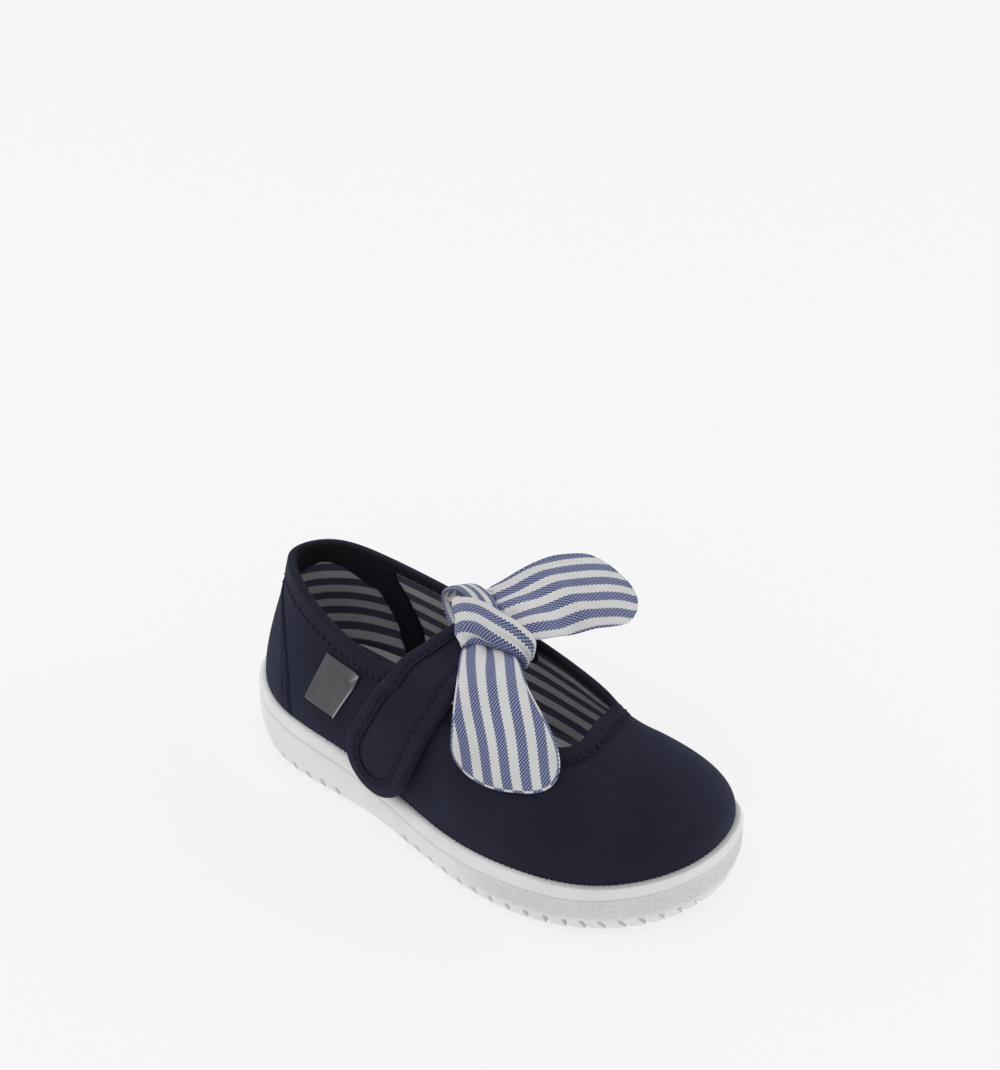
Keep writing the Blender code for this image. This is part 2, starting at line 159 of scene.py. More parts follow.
def bell(x):
    """exp(-x^2)."""
    return np.exp(-(x**2))


def dome(x):
    """sqrt(1 - (1 - x)^2): a quarter circle that climbs from 0 at 0 to 1 at 1, and stays there."""
    return np.sqrt(1 - (1 - np.clip(x, 0, 1)) ** 2)


def rounded_ends(x, power):
    """sqrt(1 - |x|^power): 1 over the middle, and rounded down to 0 at -1 and 1."""
    return np.sqrt(np.clip(1 - np.abs(x) ** power, 0, 1))


def read(table, at):
    """The spline through a table of pairs."""
    table = np.array(table, float)
    return spline(table[:, 0], table[:, 1:], at)[..., 0]


def straight(at, run, line):
    """A line of points, which lie at distances run along it, read at distances at by straight steps."""
    return np.stack([np.interp(at, run, line[:, k]) for k in range(line.shape[1])], -1)


def raised(plan, z):
    """The points of a plan at height z."""
    return np.concatenate([plan, np.broadcast_to(z, plan.shape[:-1])[..., None]], -1)


def paired(along, across):
    """Flat coordinates from two arrays that fit each other."""
    return np.stack(np.broadcast_arrays(along, across), -1)


def on_bias(uv):
    """Flat coordinates of tape cut on the bias, whose threads run at 45 degrees to it."""
    return np.stack([uv[..., 0] + uv[..., 1], uv[..., 0] - uv[..., 1]], -1) * DIAGONAL


def loop(line):
    """A line with its first point again at its end."""
    return np.concatenate([line, line[:1]])


def grid_normals(grid):
    """Unit normals of a grid of points: the cross product of its slopes along rows and columns."""
    return unit(np.cross(np.gradient(grid, axis=0), np.gradient(grid, axis=1)))


LAST_ROWS = np.array(LAST, float)
LAST_KNOTS = chords(loop(LAST_ROWS[:, :2]))


def last_at(u):
    """The last's columns at places u round the shoe, 0 to 1, on one closed spline through its rows."""
    places = np.mod(u, 1.0) * LAST_KNOTS[-1]
    return Last(*np.moveaxis(spline(LAST_KNOTS, LAST_ROWS, places, closed=True), -1, 0))


def foxing_height(x):
    """Height of the rubber's top edge, a spline along the sole."""
    table = np.array(FOXING)
    return spline(table[:, 0] * LAST_LENGTH, table[:, 1:], np.clip(x, 0, LAST_LENGTH))[..., 0]


def sole_outline(u):
    """The sole's widest outline in plan, and its unit normal, pointing out."""
    row, ahead, behind = last_at(u), last_at(u + 1e-4), last_at(u - 1e-4)
    along = unit(np.stack([ahead.sole_x - behind.sole_x, ahead.sole_y - behind.sole_y], -1))
    return np.stack([row.sole_x, row.sole_y], -1), np.stack([along[..., 1], -along[..., 0]], -1)


def upper_face(u, t):
    """The outer face of the upper: a cubic Bezier from the top of the rubber, t 0, to the topline, t 1.
    Its two middle points stand above the rubber by the last's rise and belly, and outside and below the
    topline by its reach and drop."""
    u, t = np.broadcast_arrays(np.asarray(u, float), np.asarray(t, float))
    row = last_at(u)
    outline, normal = sole_outline(u)
    foot = raised(outline - normal * FOXING_INSET, foxing_height(row.sole_x))
    top = np.stack([row.top_x, row.top_y, row.top_z], -1)
    inward = unit(top[..., :2] - foot[..., :2])
    climb = foot + raised(normal * row.belly[..., None], row.rise)
    arrive = top - raised(inward * row.reach[..., None], row.drop)
    t = t[..., None]
    return (1 - t) ** 3 * foot + 3 * (1 - t) ** 2 * t * climb + 3 * (1 - t) * t**2 * arrive + t**3 * top


def upper_normal(u, t):
    """Unit normal of upper_face, pointing out: the cross product of its two slopes."""
    round_it = upper_face(u + 1e-4, t) - upper_face(u - 1e-4, t)
    up_it = upper_face(u, t + 1e-3) - upper_face(u, t - 1e-3)
    return unit(np.cross(round_it, up_it))


def at_depth(u, depth, samples=120):
    """The t at which upper_face lies depth mm, measured along it, below the topline."""
    u, depth = np.broadcast_arrays(np.asarray(u, float), np.asarray(depth, float))
    places = np.linspace(1.0, -0.05, samples)
    run = chords(upper_face(u[None], places.reshape((-1,) + (1,) * u.ndim)))
    i = np.clip((run < depth[None]).sum(axis=0) - 1, 0, samples - 2)
    above, below = (np.take_along_axis(run, i[None] + k, 0)[0] for k in (0, 1))
    return places[i] + (places[1] - places[0]) * (depth - above) / (below - above)


def depth_of(u, t, samples=60):
    """How far below the topline, measured along it, upper_face lies at u, t."""
    u, t = np.broadcast_arrays(np.asarray(u, float), np.asarray(t, float))
    part = np.linspace(0.0, 1.0, samples).reshape((-1,) + (1,) * u.ndim)
    return chords(upper_face(u[None], 1 - (1 - t) * part))[-1]


def on_wall(x, z, side):
    """u and t where the side of the upper, outer -1 or inner 1, has that x and z: Newton steps on
    upper_face from a guess that is straight in x. Below the rubber's edge t stays at 0."""
    x, z = np.broadcast_arrays(np.asarray(x, float), np.asarray(z, float))
    per_mm, step = 0.00262, 1e-4
    u = np.where(side < 0, 0.06 + x * per_mm, 0.965 - x * per_mm)
    t = np.full_like(x, 0.5)
    for _ in range(24):
        p = upper_face(u, t)
        du = (upper_face(u + step, t) - p) / step
        dt = (upper_face(u, t + step) - p) / step
        ex, ez = x - p[..., 0], z - p[..., 2]
        det = du[..., 0] * dt[..., 2] - du[..., 2] * dt[..., 0]
        u = u + np.clip((ex * dt[..., 2] - ez * dt[..., 0]) / det, -0.05, 0.05)
        t = np.clip(t + np.clip((ez * du[..., 0] - ex * du[..., 2]) / det, -0.3, 0.3), 0.0, 1.0)
    return u, t


def off_face(u, t, out):
    """Points that stand out mm off the outer face of the upper."""
    return upper_face(u, t) + upper_normal(u, t) * np.asarray(out, float)[..., None]


def flat_cloth(u, depth):
    """Where a point of the upper lay on the flat cloth, in mm: the topline in plan, plus its depth
    below the topline in the direction of the sole's edge."""
    row = last_at(u)
    top = np.stack([row.top_x, row.top_y], -1)
    down = unit(np.stack([row.sole_x, row.sole_y], -1) - top)
    return top + down * np.asarray(depth, float)[..., None]


# ---------------------------------------------------------------- meshes


def joined(values, wrap):
    """A grid of values with its first row, column or both repeated at the end."""
    for axis, wraps in zip((-3, -2), wrap):
        if wraps:
            values = np.concatenate([values, np.take(values, [0], axis=axis)], axis=axis)
    return values


def corners(values):
    """The values at the four corners of each face of a grid."""
    near, far = values[..., :-1, :], values[..., 1:, :]
    around = [near[..., :-1, :, :], near[..., 1:, :, :], far[..., 1:, :, :], far[..., :-1, :, :]]
    return np.stack(around, axis=-2)


def skin(
    name, grid, uv, looks, slot, replaces=(), wrap=(False, True), face_look=None, marks=None, sharp=None
):
    """A mesh from a grid of points in mm, which may hold several grids at once. Points in the same place
    are made one, faces that this empties are dropped, and the whole is turned to enclose a positive
    volume. uv holds mm on the flat material, at the grid's points or at each face's corners. wrap says
    whether the rows and the columns close on themselves. marks are named values at the points."""
    points = grid.reshape(-1, 3)
    index = np.arange(len(points)).reshape(grid.shape[:-1] + (1,))
    faces = corners(joined(index, wrap))[..., 0]
    face_grid = faces.shape[:-1]
    faces = faces.reshape(-1, 4)
    flat = (uv if uv.ndim == grid.ndim + 1 else corners(uv)).reshape(-1, 4, 2)
    a, b, c, d = (points[faces[:, k]] for k in range(4))
    volume = (a * (np.cross(b, c) + np.cross(c, d))).sum()
    if volume < 0:
        faces, flat = faces[:, ::-1], flat[:, ::-1]
    _, first, back = np.unique(np.round(points, 4), axis=0, return_index=True, return_inverse=True)
    faces = back.reshape(-1)[faces]
    keep = faces != np.roll(faces, 1, axis=1)
    count = keep.sum(axis=1)
    good = count >= 3
    corner = faces[good][keep[good]]
    starts = np.concatenate([[0], np.cumsum(count[good])[:-1]])
    placed = (points[first] + [HEEL_BACK, 0, 0]) * MM
    mesh = bpy.data.meshes.new(name)
    mesh.vertices.add(len(first))
    mesh.vertices.foreach_set("co", placed.astype(np.float32).ravel())
    mesh.loops.add(len(corner))
    mesh.loops.foreach_set("vertex_index", corner.astype(np.int32))
    mesh.polygons.add(len(starts))
    mesh.polygons.foreach_set("loop_start", starts.astype(np.int32))
    layer = mesh.uv_layers.new(name="flat")
    layer.data.foreach_set("uv", (flat[good][keep[good]] * UV_PER_MM).astype(np.float32).ravel())
    if face_look is not None:
        chosen = np.broadcast_to(face_look, face_grid).reshape(-1)[good]
        mesh.polygons.foreach_set("material_index", chosen.astype(np.int32))
    for mark, values in (marks or {}).items():
        values = np.broadcast_to(values, grid.shape[:-1]).reshape(-1)[first]
        layer = mesh.attributes.new(mark, "FLOAT", "POINT")
        layer.data.foreach_set("value", values.astype(np.float32))
    mesh.update(calc_edges=True)
    mesh.validate()
    mesh.shade_smooth()
    if sharp:
        mesh.set_sharp_from_angle(angle=radians(sharp))
    for finish in looks:
        mesh.materials.append(finish)
    made = bpy.data.objects.new(name, mesh)
    bpy.context.scene.collection.objects.link(made)
    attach(made, "root")
    if replaces:
        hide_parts(*replaces)
    return made


# ---------------------------------------------------------------- finishes


class Wiring:
    """Puts nodes into a material's tree. A socket given as a value is linked, anything else is set."""

    def __init__(self, name):
        self.material = bpy.data.materials.new(name)
        self.material.use_nodes = True
        self.tree = self.material.node_tree
        self.shader = self.tree.nodes["Principled BSDF"]

    def set(self, node, **sockets):
        """Fills a node's inputs, by name, with _ for a blank, or by number, as i0."""
        for key, value in sockets.items():
            place = int(key[1:]) if key[0] == "i" and key[1:].isdigit() else key.replace("_", " ")
            if isinstance(value, bpy.types.NodeSocket):
                self.tree.links.new(value, node.inputs[place])
            else:
                node.inputs[place].default_value = value
        return node

    def add(self, kind, settings=None, **sockets):
        """A new node of a kind, with its settings and inputs."""
        node = self.tree.nodes.new("ShaderNode" + kind)
        for key, value in (settings or {}).items():
            setattr(node, key, value)
        return self.set(node, **sockets)

    def math(self, operation, *values):
        """The result of a Math node."""
        node = self.add("Math", {"operation": operation})
        for place, value in enumerate(values):
            self.set(node, **{f"i{place}": value})
        return node.outputs[0]

    def ramp(self, value, low, high, to_low=0.0, to_high=1.0):
        """to_low where value is below low, to_high above high, and smooth between them."""
        node = self.add("MapRange", {"interpolation_type": "SMOOTHSTEP"})
        self.set(node, i0=value, i1=low, i2=high, i3=to_low, i4=to_high)
        return node.outputs[0]

    def mix(self, part, a, b):
        """Colour a where part is 0, and b where it is 1."""
        node = self.add("Mix", {"data_type": "RGBA"})
        self.set(node, i0=part, i6=a, i7=b)
        return node.outputs[2]

    def mark(self, name):
        """The value of a mark that the mesh carries, 0 where it has none."""
        return self.add("Attribute", {"attribute_name": name}).outputs["Fac"]

    def flat(self):
        """The two flat coordinates of the cloth, in mm."""
        place = self.add("UVMap", {"uv_map": "flat"})
        apart = self.add("SeparateXYZ", i0=place.outputs[0])
        return [self.math("MULTIPLY", apart.outputs[k], 1 / UV_PER_MM) for k in range(2)]

    def noise(self, scale, detail=3.0, vector=None):
        """Noise of scale wrinkles per metre, on Object coordinates."""
        if vector is None:
            vector = self.add("TexCoord").outputs["Object"]
        return self.add("TexNoise", Vector=vector, Scale=scale, Detail=detail).outputs[0]

    def weave(self, along, across, pitch):
        """Plain weave: cells of one thread each way, where the warp and the weft lie on top by turns.
        Height is sin(pi a) over the thread, lowered towards the ends of the cell by sin(pi b), where a
        and b count threads along and across."""
        a, b = self.math("DIVIDE", along, pitch), self.math("DIVIDE", across, pitch)
        turn = self.math("PINGPONG", self.math("ADD", self.math("FLOOR", a), self.math("FLOOR", b)), 1.0)
        hump = [self.math("SINE", self.math("MULTIPLY", self.math("FRACT", c), pi)) for c in (a, b)]
        warp = self.math("MULTIPLY", hump[0], self.math("MULTIPLY_ADD", hump[1], 0.45, 0.55))
        weft = self.math("MULTIPLY", hump[1], self.math("MULTIPLY_ADD", hump[0], 0.45, 0.55))
        blend = self.add("Mix", {"data_type": "FLOAT"})
        self.set(blend, i0=turn, i2=warp, i3=weft)
        return blend.outputs[0]

    def bump(self, height, distance, strength=1.0, under=None):
        """The normal over relief of distance mm, on top of another normal."""
        node = self.add("Bump", Height=height, Distance=distance * MM, Strength=strength)
        if under is not None:
            self.set(node, Normal=under)
        return node.outputs[0]

    def finish(self, **sockets):
        """Fills the shader's inputs and gives the material."""
        self.set(self.shader, **sockets)
        return self.material


def rgba(colour, gain=1.0):
    """A colour times gain, opaque."""
    return (*(min(1.0, c * gain) for c in colour), 1.0)


def canvas_look(name, colour, thread, lift=1.35):
    """Dyed cotton canvas: a plain weave in the flat coordinates, colour a little paler on top of the
    threads, uneven from place to place, darker where its crease mark is, which is painted shade along
    seams and folded edges, and a dull sheen of fibre ends."""
    w = Wiring(name)
    along, across = w.flat()
    threads = w.weave(along, across, thread)
    uneven = w.noise(420.0, 4.0)
    cloudy = w.noise(60.0, 2.0)
    part = w.math("MULTIPLY_ADD", threads, 0.55, w.math("MULTIPLY", uneven, 0.45))
    dyed = w.mix(part, rgba(colour, 0.72), rgba(colour, lift))
    tone = w.ramp(cloudy, 0.35, 0.65, 0.9, 1.1)
    shade = w.add("HueSaturation", Value=tone, Color=dyed).outputs[0]
    # painted shade: the colour goes down to 0.35 of itself along seams and folded edges
    shade = w.mix(w.mark("crease_shade"), shade, rgba(colour, 0.35))
    fine = w.bump(threads, 0.09, 0.8)
    soft = w.bump(w.noise(240.0, 3.0), 0.35, 0.35, fine)
    return w.finish(
        Base_Color=shade,
        Roughness=0.85,
        Normal=soft,
        Specular_IOR_Level=0.10,
        Sheen_Weight=0.13,
        Sheen_Roughness=0.45,
        Sheen_Tint=rgba((0.40, 0.46, 0.80)),
    )


def striped_look(name, white, dark, pale, width, dim=1.0):
    """Woven striped cotton. Across the cloth, white and blue stripes take turns, each width mm wide. The
    blue is a lattice of dark and pale threads: h = cos 2pi(a/p + b/w) + 0.75 cos 2pi(a/p - b/w), where a
    runs along and b across, p is 1 mm and w a third of a stripe. h scallops the stripes' edges too.
    The mark called shade darkens the cloth."""
    w = Wiring(name)
    along, across = w.flat()
    turns_a = w.math("MULTIPLY", along, 2 * pi)
    turns_b = w.math("MULTIPLY", across, 6 * pi / width)
    lattice = w.math(
        "MULTIPLY_ADD",
        w.math("COSINE", w.math("SUBTRACT", turns_a, turns_b)),
        0.75,
        w.math("COSINE", w.math("ADD", turns_a, turns_b)),
    )
    phase = w.math("DIVIDE", across, 2 * width)
    # 0 in the middle of a white stripe and 1 in the middle of a blue one; 40 more keeps the sum above 0
    swing = w.math("PINGPONG", w.math("MULTIPLY_ADD", phase, 2.0, 40.5), 1.0)
    swing = w.math("SUBTRACT", 1.0, swing)
    blueness = w.ramp(w.math("MULTIPLY_ADD", lattice, -0.045, swing), 0.46, 0.54)
    threads = w.weave(along, across, 0.29)
    cloudy = w.ramp(w.noise(70.0, 2.0), 0.3, 0.7, 0.94, 1.04)
    grey = w.math("MULTIPLY", w.ramp(threads, 0.0, 1.0, 0.90, 1.05), cloudy)
    blue = w.mix(w.ramp(lattice, -0.8, 1.5), rgba(dark, dim), rgba(pale, dim))
    cloth = w.mix(blueness, rgba(white, dim), blue)
    shade = w.add("HueSaturation", Value=grey, Color=cloth).outputs[0]
    shade = w.mix(w.mark("shade"), shade, rgba((0, 0, 0)))
    fine = w.bump(threads, 0.05, 0.7)
    soft = w.bump(w.noise(160.0, 2.0), 0.3, 0.3, fine)
    return w.finish(
        Base_Color=shade,
        Roughness=0.8,
        Normal=soft,
        Specular_IOR_Level=0.15,
        Sheen_Weight=0.1,
        Sheen_Roughness=0.5,
    )


def rubber_look(name, colour):
    """Moulded off-white rubber: faint clouds in the colour, a dull skin, pebbles where the mark called
    pebble stands above 0, with painted shade between them, and a darker colour, painted shade, where
    the mark for the sole's recesses and toe stands above 0."""
    w = Wiring(name)
    place = w.add("TexCoord").outputs["Object"]
    cloudy = w.noise(90.0, 4.0, place)
    clean = w.mix(w.ramp(cloudy, 0.3, 0.7), rgba(colour, 0.965), rgba(colour, 1.02))
    pebbled = w.mark("pebble")
    crumbs = w.add("TexVoronoi", {"feature": "F1"}, Vector=place, Scale=1150.0).outputs[0]
    pebble = w.math("MULTIPLY", w.math("SUBTRACT", 1.0, crumbs), pebbled)
    # painted shade between the pebbles
    between = w.math("MULTIPLY", w.ramp(crumbs, 0.35, 0.75), w.math("MULTIPLY", pebbled, 0.34))
    # painted shade: down to half the colour where the sole's mark says
    tone = w.mix(w.mark("painted_shade"), clean, rgba(colour, 0.50))
    tone = w.mix(between, tone, rgba(colour, 0.70))
    rough = w.ramp(w.noise(700.0, 2.0, place), 0.3, 0.7, 0.42, 0.56)
    skin_bump = w.bump(w.noise(900.0, 3.0, place), 0.05, 0.25)
    deep = w.bump(pebble, 0.5, 0.8, skin_bump)
    return w.finish(Base_Color=tone, Roughness=rough, Normal=deep, Specular_IOR_Level=0.4)


def thread_look(name, colour):
    """Twisted sewing thread: slanting plies along the stitch."""
    w = Wiring(name)
    along, across = w.flat()
    twist = w.math("SINE", w.math("MULTIPLY", w.math("ADD", along, across), 14.0))
    part = w.ramp(twist, -1.0, 1.0)
    shade = w.mix(part, rgba(colour, 0.75), rgba(colour, 1.4))
    relief = w.bump(twist, 0.05, 0.6)
    return w.finish(Base_Color=shade, Roughness=0.6, Normal=relief, Specular_IOR_Level=0.15)


def film_look(name, colour):
    """Glossy grey plastic film with shallow crumples, whitened by a painted highlight where the mark called
    edge is.
    """
    w = Wiring(name)
    crumple = w.noise(140.0, 2.0)
    tone = w.mix(w.ramp(crumple, 0.35, 0.65), rgba(colour, 0.92), rgba(colour, 1.1))
    tone = w.mix(w.mark("edge"), tone, rgba((0.5, 0.5, 0.52)))
    return w.finish(
        Base_Color=tone,
        Roughness=0.30,
        Normal=w.bump(crumple, 0.6, 0.5),
        Specular_IOR_Level=0.5,
        Coat_Weight=0.4,
        Coat_Roughness=0.14,
    )


def look(name):
    """The named finish, made at its first use."""
    found = bpy.data.materials.get(name + "_finish")
    if found:
        return found
    sizes, colours = bpy.context.scene.shoe_sizes, bpy.context.scene.shoe_colours
    thread, stripe, lining_stripe = sizes.thread / MM, sizes.stripe / MM, sizes.lining_stripe / MM
    bow_colours = colours.white, colours.blue, colours.pale_blue
    lining_colours = colours.white, colours.lining_blue, colours.lining_pale
    makers = {
        "rubber": (rubber_look, colours.rubber),
        "canvas": (canvas_look, colours.navy, thread),
        "strap": (canvas_look, colours.navy, thread, 1.25),
        "binding": (canvas_look, colours.binding, thread * 0.8, 1.3),
        "tape": (canvas_look, colours.tape, thread * 0.9, 1.25),
        "bow": (striped_look, *bow_colours, stripe),
        # The lining's colours are raised by 1.2, and painted shade takes them back down towards the heel,
        # so the front inside the shoe stands lighter
        "lining": (striped_look, *lining_colours, lining_stripe, 1.2),
        "thread": (thread_look, colours.thread),
        "film": (film_look, colours.film),
    }
    make, *values = makers[name]
    return make(name + "_finish", *values)


# ---------------------------------------------------------------- sole and insole

SPINE = (24.0, 128.0, -1.5)  # the tread's middle line: its two ends and its y
LUG_PITCH = 5.7
NOTCH = (0.70, 0.77, 0.955, 0.995)  # parts of the pitch where a notch opens, is open, and closes
# The columns of points in one pitch: even over the lug, close together over the notch.
LUG_NODES = (0, 0.08, 0.16, 0.24, 0.32, 0.40, 0.48, 0.56, 0.64)
NOTCH_NODES = (0.70, 0.735, 0.76, 0.785, 0.81, 0.85, 0.89, 0.93, 0.955, 0.975, 0.99)
PITCH_NODES = LUG_NODES + NOTCH_NODES
GROUND_INSET = 3.0
UNDER_SLANT = -0.9  # the lugs lean, and the rings under them are moved on round the shoe by this
# How far the side stands inside the widest outline, at parts of its height.
SIDE_INSETS = (
    (0, 3.0),
    (0.07, 2.0),
    (0.20, 1.0),
    (0.44, 0.12),
    (0.60, 0.0),
    (0.76, 0.05),
    (0.93, 0.5),
    (1.0, 0.9),
)
LIP_RINGS = 8  # rings over the lip and down inside it, which take painted shade at the toe


def ground_height(x):
    """The sole's underside: flat, but for a parabola of toe spring and a small one at the heel."""
    part = x / SOLE_LENGTH
    toe = np.clip((part - 0.74) / 0.26, 0, 1)
    heel = np.clip((0.10 - part) / 0.10, 0, 1)
    return 2.7 * toe**2 + 1.5 * heel**2


def waist_lift(x):
    """How far the tread stands off the ground between the heel pad and the forefoot pad: it leaves the
    first gently and meets the second at a step."""
    return 2.0 * smooth(51.0, 59.0, x) * (1 - smooth(71.8, 73.8, x))


def spine_of(x, step):
    """The nearest point of the sole's middle line, on a grid of steps so that both sides share it."""
    along = SPINE[0] + step * np.round((np.clip(x, SPINE[0], SPINE[1]) - SPINE[0]) / step)
    return along, np.full_like(along, SPINE[2])


def make_sole(sizes):
    """Cup sole. Rings run round the outline: from the middle line under the tread out to the edge, up
    the side, over the lip and down inside to the floor. Each ring is the outline moved in by an inset,
    at a height. Notches part the lugs along the edge, a groove parts the smooth upper band from the
    lower one, and wavy grooves cross both pads."""
    fine = np.linspace(0, 1, 4001)
    run = chords(sole_outline(fine)[0])
    girth = run[-1]
    count = round(girth / LUG_PITCH)
    parts = ((np.arange(count)[:, None] + np.array(PITCH_NODES)) / count).ravel()
    phase = np.tile(PITCH_NODES, count)
    u0 = np.interp(parts, run / girth, fine)
    x0 = last_at(u0).sole_x
    ground, top = ground_height(x0), foxing_height(x0)
    tread = ground + waist_lift(x0)
    open_notch = smooth(NOTCH[0], NOTCH[1], phase) * (1 - smooth(NOTCH[2], NOTCH[3], phase))
    from_middle = np.clip(np.abs(np.mod(phase + 0.04, 1.0) - 0.40) / 0.40, 0, 1)  # of its lug
    on_pads = 1 - smooth(50.0, 53.0, x0) * (1 - smooth(72.5, 75.0, x0))
    toe = smooth(128.0, 146.0, x0)
    notch = open_notch * on_pads * (1 - 0.45 * toe)
    hem = tread + 0.9 * from_middle**3 * on_pads * (1 - 0.4 * toe)
    groove_z = top - sizes.upper_band / MM + 0.5 * toe

    def ring(z, inset, slant=0.0):
        """The outline moved in by inset, at height z. slant moves the points on round the shoe, in mm."""
        line, normal = sole_outline(u0 + slant / girth)
        return raised(line - normal * np.broadcast_to(inset, u0.shape)[:, None], z)

    def side(z):
        """The ring of the side wall at height z, with its groove, bands and notches."""
        inset = read(SIDE_INSETS, (z - ground) / (top - ground))
        above = z - groove_z
        groove = sizes.groove / MM * bell(above / 0.38)
        bulge = 0.22 * smooth(0.2, 1.6, above) * (1 - smooth(3.6, 6.0, above))
        height = z - ground
        notched = 1.9 * notch * (1 - smooth(3.6, 4.4, height))
        second = 0.3 * toe * bell((height - 4.9) / 0.35)
        lean = 0.9 * np.exp(-height / 0.5) - 0.27 * height - 0.6 * toe * height
        slant = lean * np.where(u0 < 0.5, 1.0, -1.0) * (1 - smooth(4.0, 5.4, height))
        return ring(z, inset + groove - bulge + notched + second, slant)

    rings = []
    edge = hem + (2.6 - (hem - ground)).clip(0) * notch
    core = ring(tread, GROUND_INSET + 3.9, UNDER_SLANT)
    spine_x, spine_y = spine_of(x0, 1.0)
    spine = np.stack([spine_x, spine_y, ground_height(spine_x) + waist_lift(spine_x)], 1)
    for part in np.linspace(0, 1, 31):
        p = spine + (core - spine) * part
        x, y = p[:, 0], p[:, 1]
        on_pad = 1 - smooth(48.0, 51.5, x) * (1 - smooth(75.0, 77.5, x))
        wavy = np.mod((x + 1.3 * np.sin(2 * pi * y / 13.0)) / LUG_PITCH, 1.0)
        cut = smooth(0.36, 0.44, wavy) * (1 - smooth(0.60, 0.68, wavy))
        rim = smooth(0.02, 0.10, part) * (1 - smooth(0.84, 0.93, part))
        p[:, 2] = ground_height(x) + waist_lift(x) + 0.9 * cut * on_pad * rim
        if part == 0:
            p[:, 2] = spine[:, 2]
        rings.append(p)
    rings.append(ring(tread, GROUND_INSET + 3.5, UNDER_SLANT))
    rings.append(ring(edge, GROUND_INSET + 3.2, UNDER_SLANT))
    for inset, up in ((1.6, 0.0), (0.7, 0.0), (0.25, 0.08)):
        rings.append(ring(np.maximum(edge, hem + up), GROUND_INSET + inset, UNDER_SLANT))
    under = len(rings)
    for height in (0.3, 0.7, 1.15, 1.6, 2.1, 2.6, 3.0, 3.4, 3.7, 4.0, 4.3, 4.7, 5.2):
        rings.append(side(hem + 0.3 + (height - 0.3) * (4.9 - (hem - ground)) / 4.9))
    low = ground + 5.2
    for part in (0.2, 0.45, 0.7, 0.9):
        rings.append(side(low + (groove_z - 0.9 - low) * part))
    for above in (-0.85, -0.6, -0.4, -0.2, 0.0, 0.2, 0.4, 0.6, 0.9):
        rings.append(side(groove_z + above))
    for part in (0.2, 0.4, 0.6, 0.8):
        rings.append(side(groove_z + 0.9 + (top - 0.9 - groove_z - 0.9) * part))
    for below, inset in ((0.85, 0.55), (0.5, 0.75), (0.22, 1.05), (0.05, 1.4), (0.0, 1.8)):
        rings.append(ring(top - below, inset))
    turns = parts * 2 * pi
    ragged = 0.07 * np.sin(turns * 211) + 0.06 * np.sin(turns * 347 + 1.0) + 0.06 * np.sin(turns * 283)
    lip = top + ragged
    for z, inset in ((lip - 0.02, 2.2), (lip - 0.05, 2.32), (top - 1.2, 2.4), (FLOOR - 0.35, 2.4)):
        rings.append(ring(z, inset))
    rings.append(np.stack([spine_x, spine_y, np.full_like(spine_x, FLOOR - 0.35)], 1))
    grid = np.array(rings)
    uv = paired(np.append(parts, 1.0)[None] * girth, chords(grid).mean(axis=1)[:, None])
    height = grid[..., 2] - ground
    above = grid[..., 2] - groove_z
    pebble = smooth(4.8, 5.6, height) * (1 - smooth(-1.0, -0.3, above)) * smooth(92.0, 112.0, x0)
    pebble[:under] = 0
    # The second mark is painted shade: in the notches, mostly shade with a little dirt and darker towards
    # the heel; in the groove under the upper band; over the pebbled band at the toe; and over the lip at
    # the toe.
    in_notch = notch * smooth(-0.2, 0.4, height) * (1 - smooth(3.2, 4.2, height))
    painted_shade = (0.75 - 0.35 * smooth(60.0, 100.0, x0)) * in_notch
    painted_shade = np.maximum(painted_shade, 0.28 * bell(above / 0.30))
    painted_shade = np.maximum(painted_shade, 0.14 * pebble)
    painted_shade[:under], painted_shade[-LIP_RINGS:] = 0, 0.62 * smooth(112.0, 140.0, x0)
    marks = {"pebble": pebble, "painted_shade": painted_shade}
    return skin("sole", grid, uv, [look("rubber")], "sole_rubber", ["outsole"], marks=marks, sharp=46)


def painted_heel_shade(grid):
    """Painted shade on the cloth inside the shoe: how much darker it is made towards the heel."""
    return 0.29 * (1 - smooth(50.0, 85.0, grid[..., 0]))


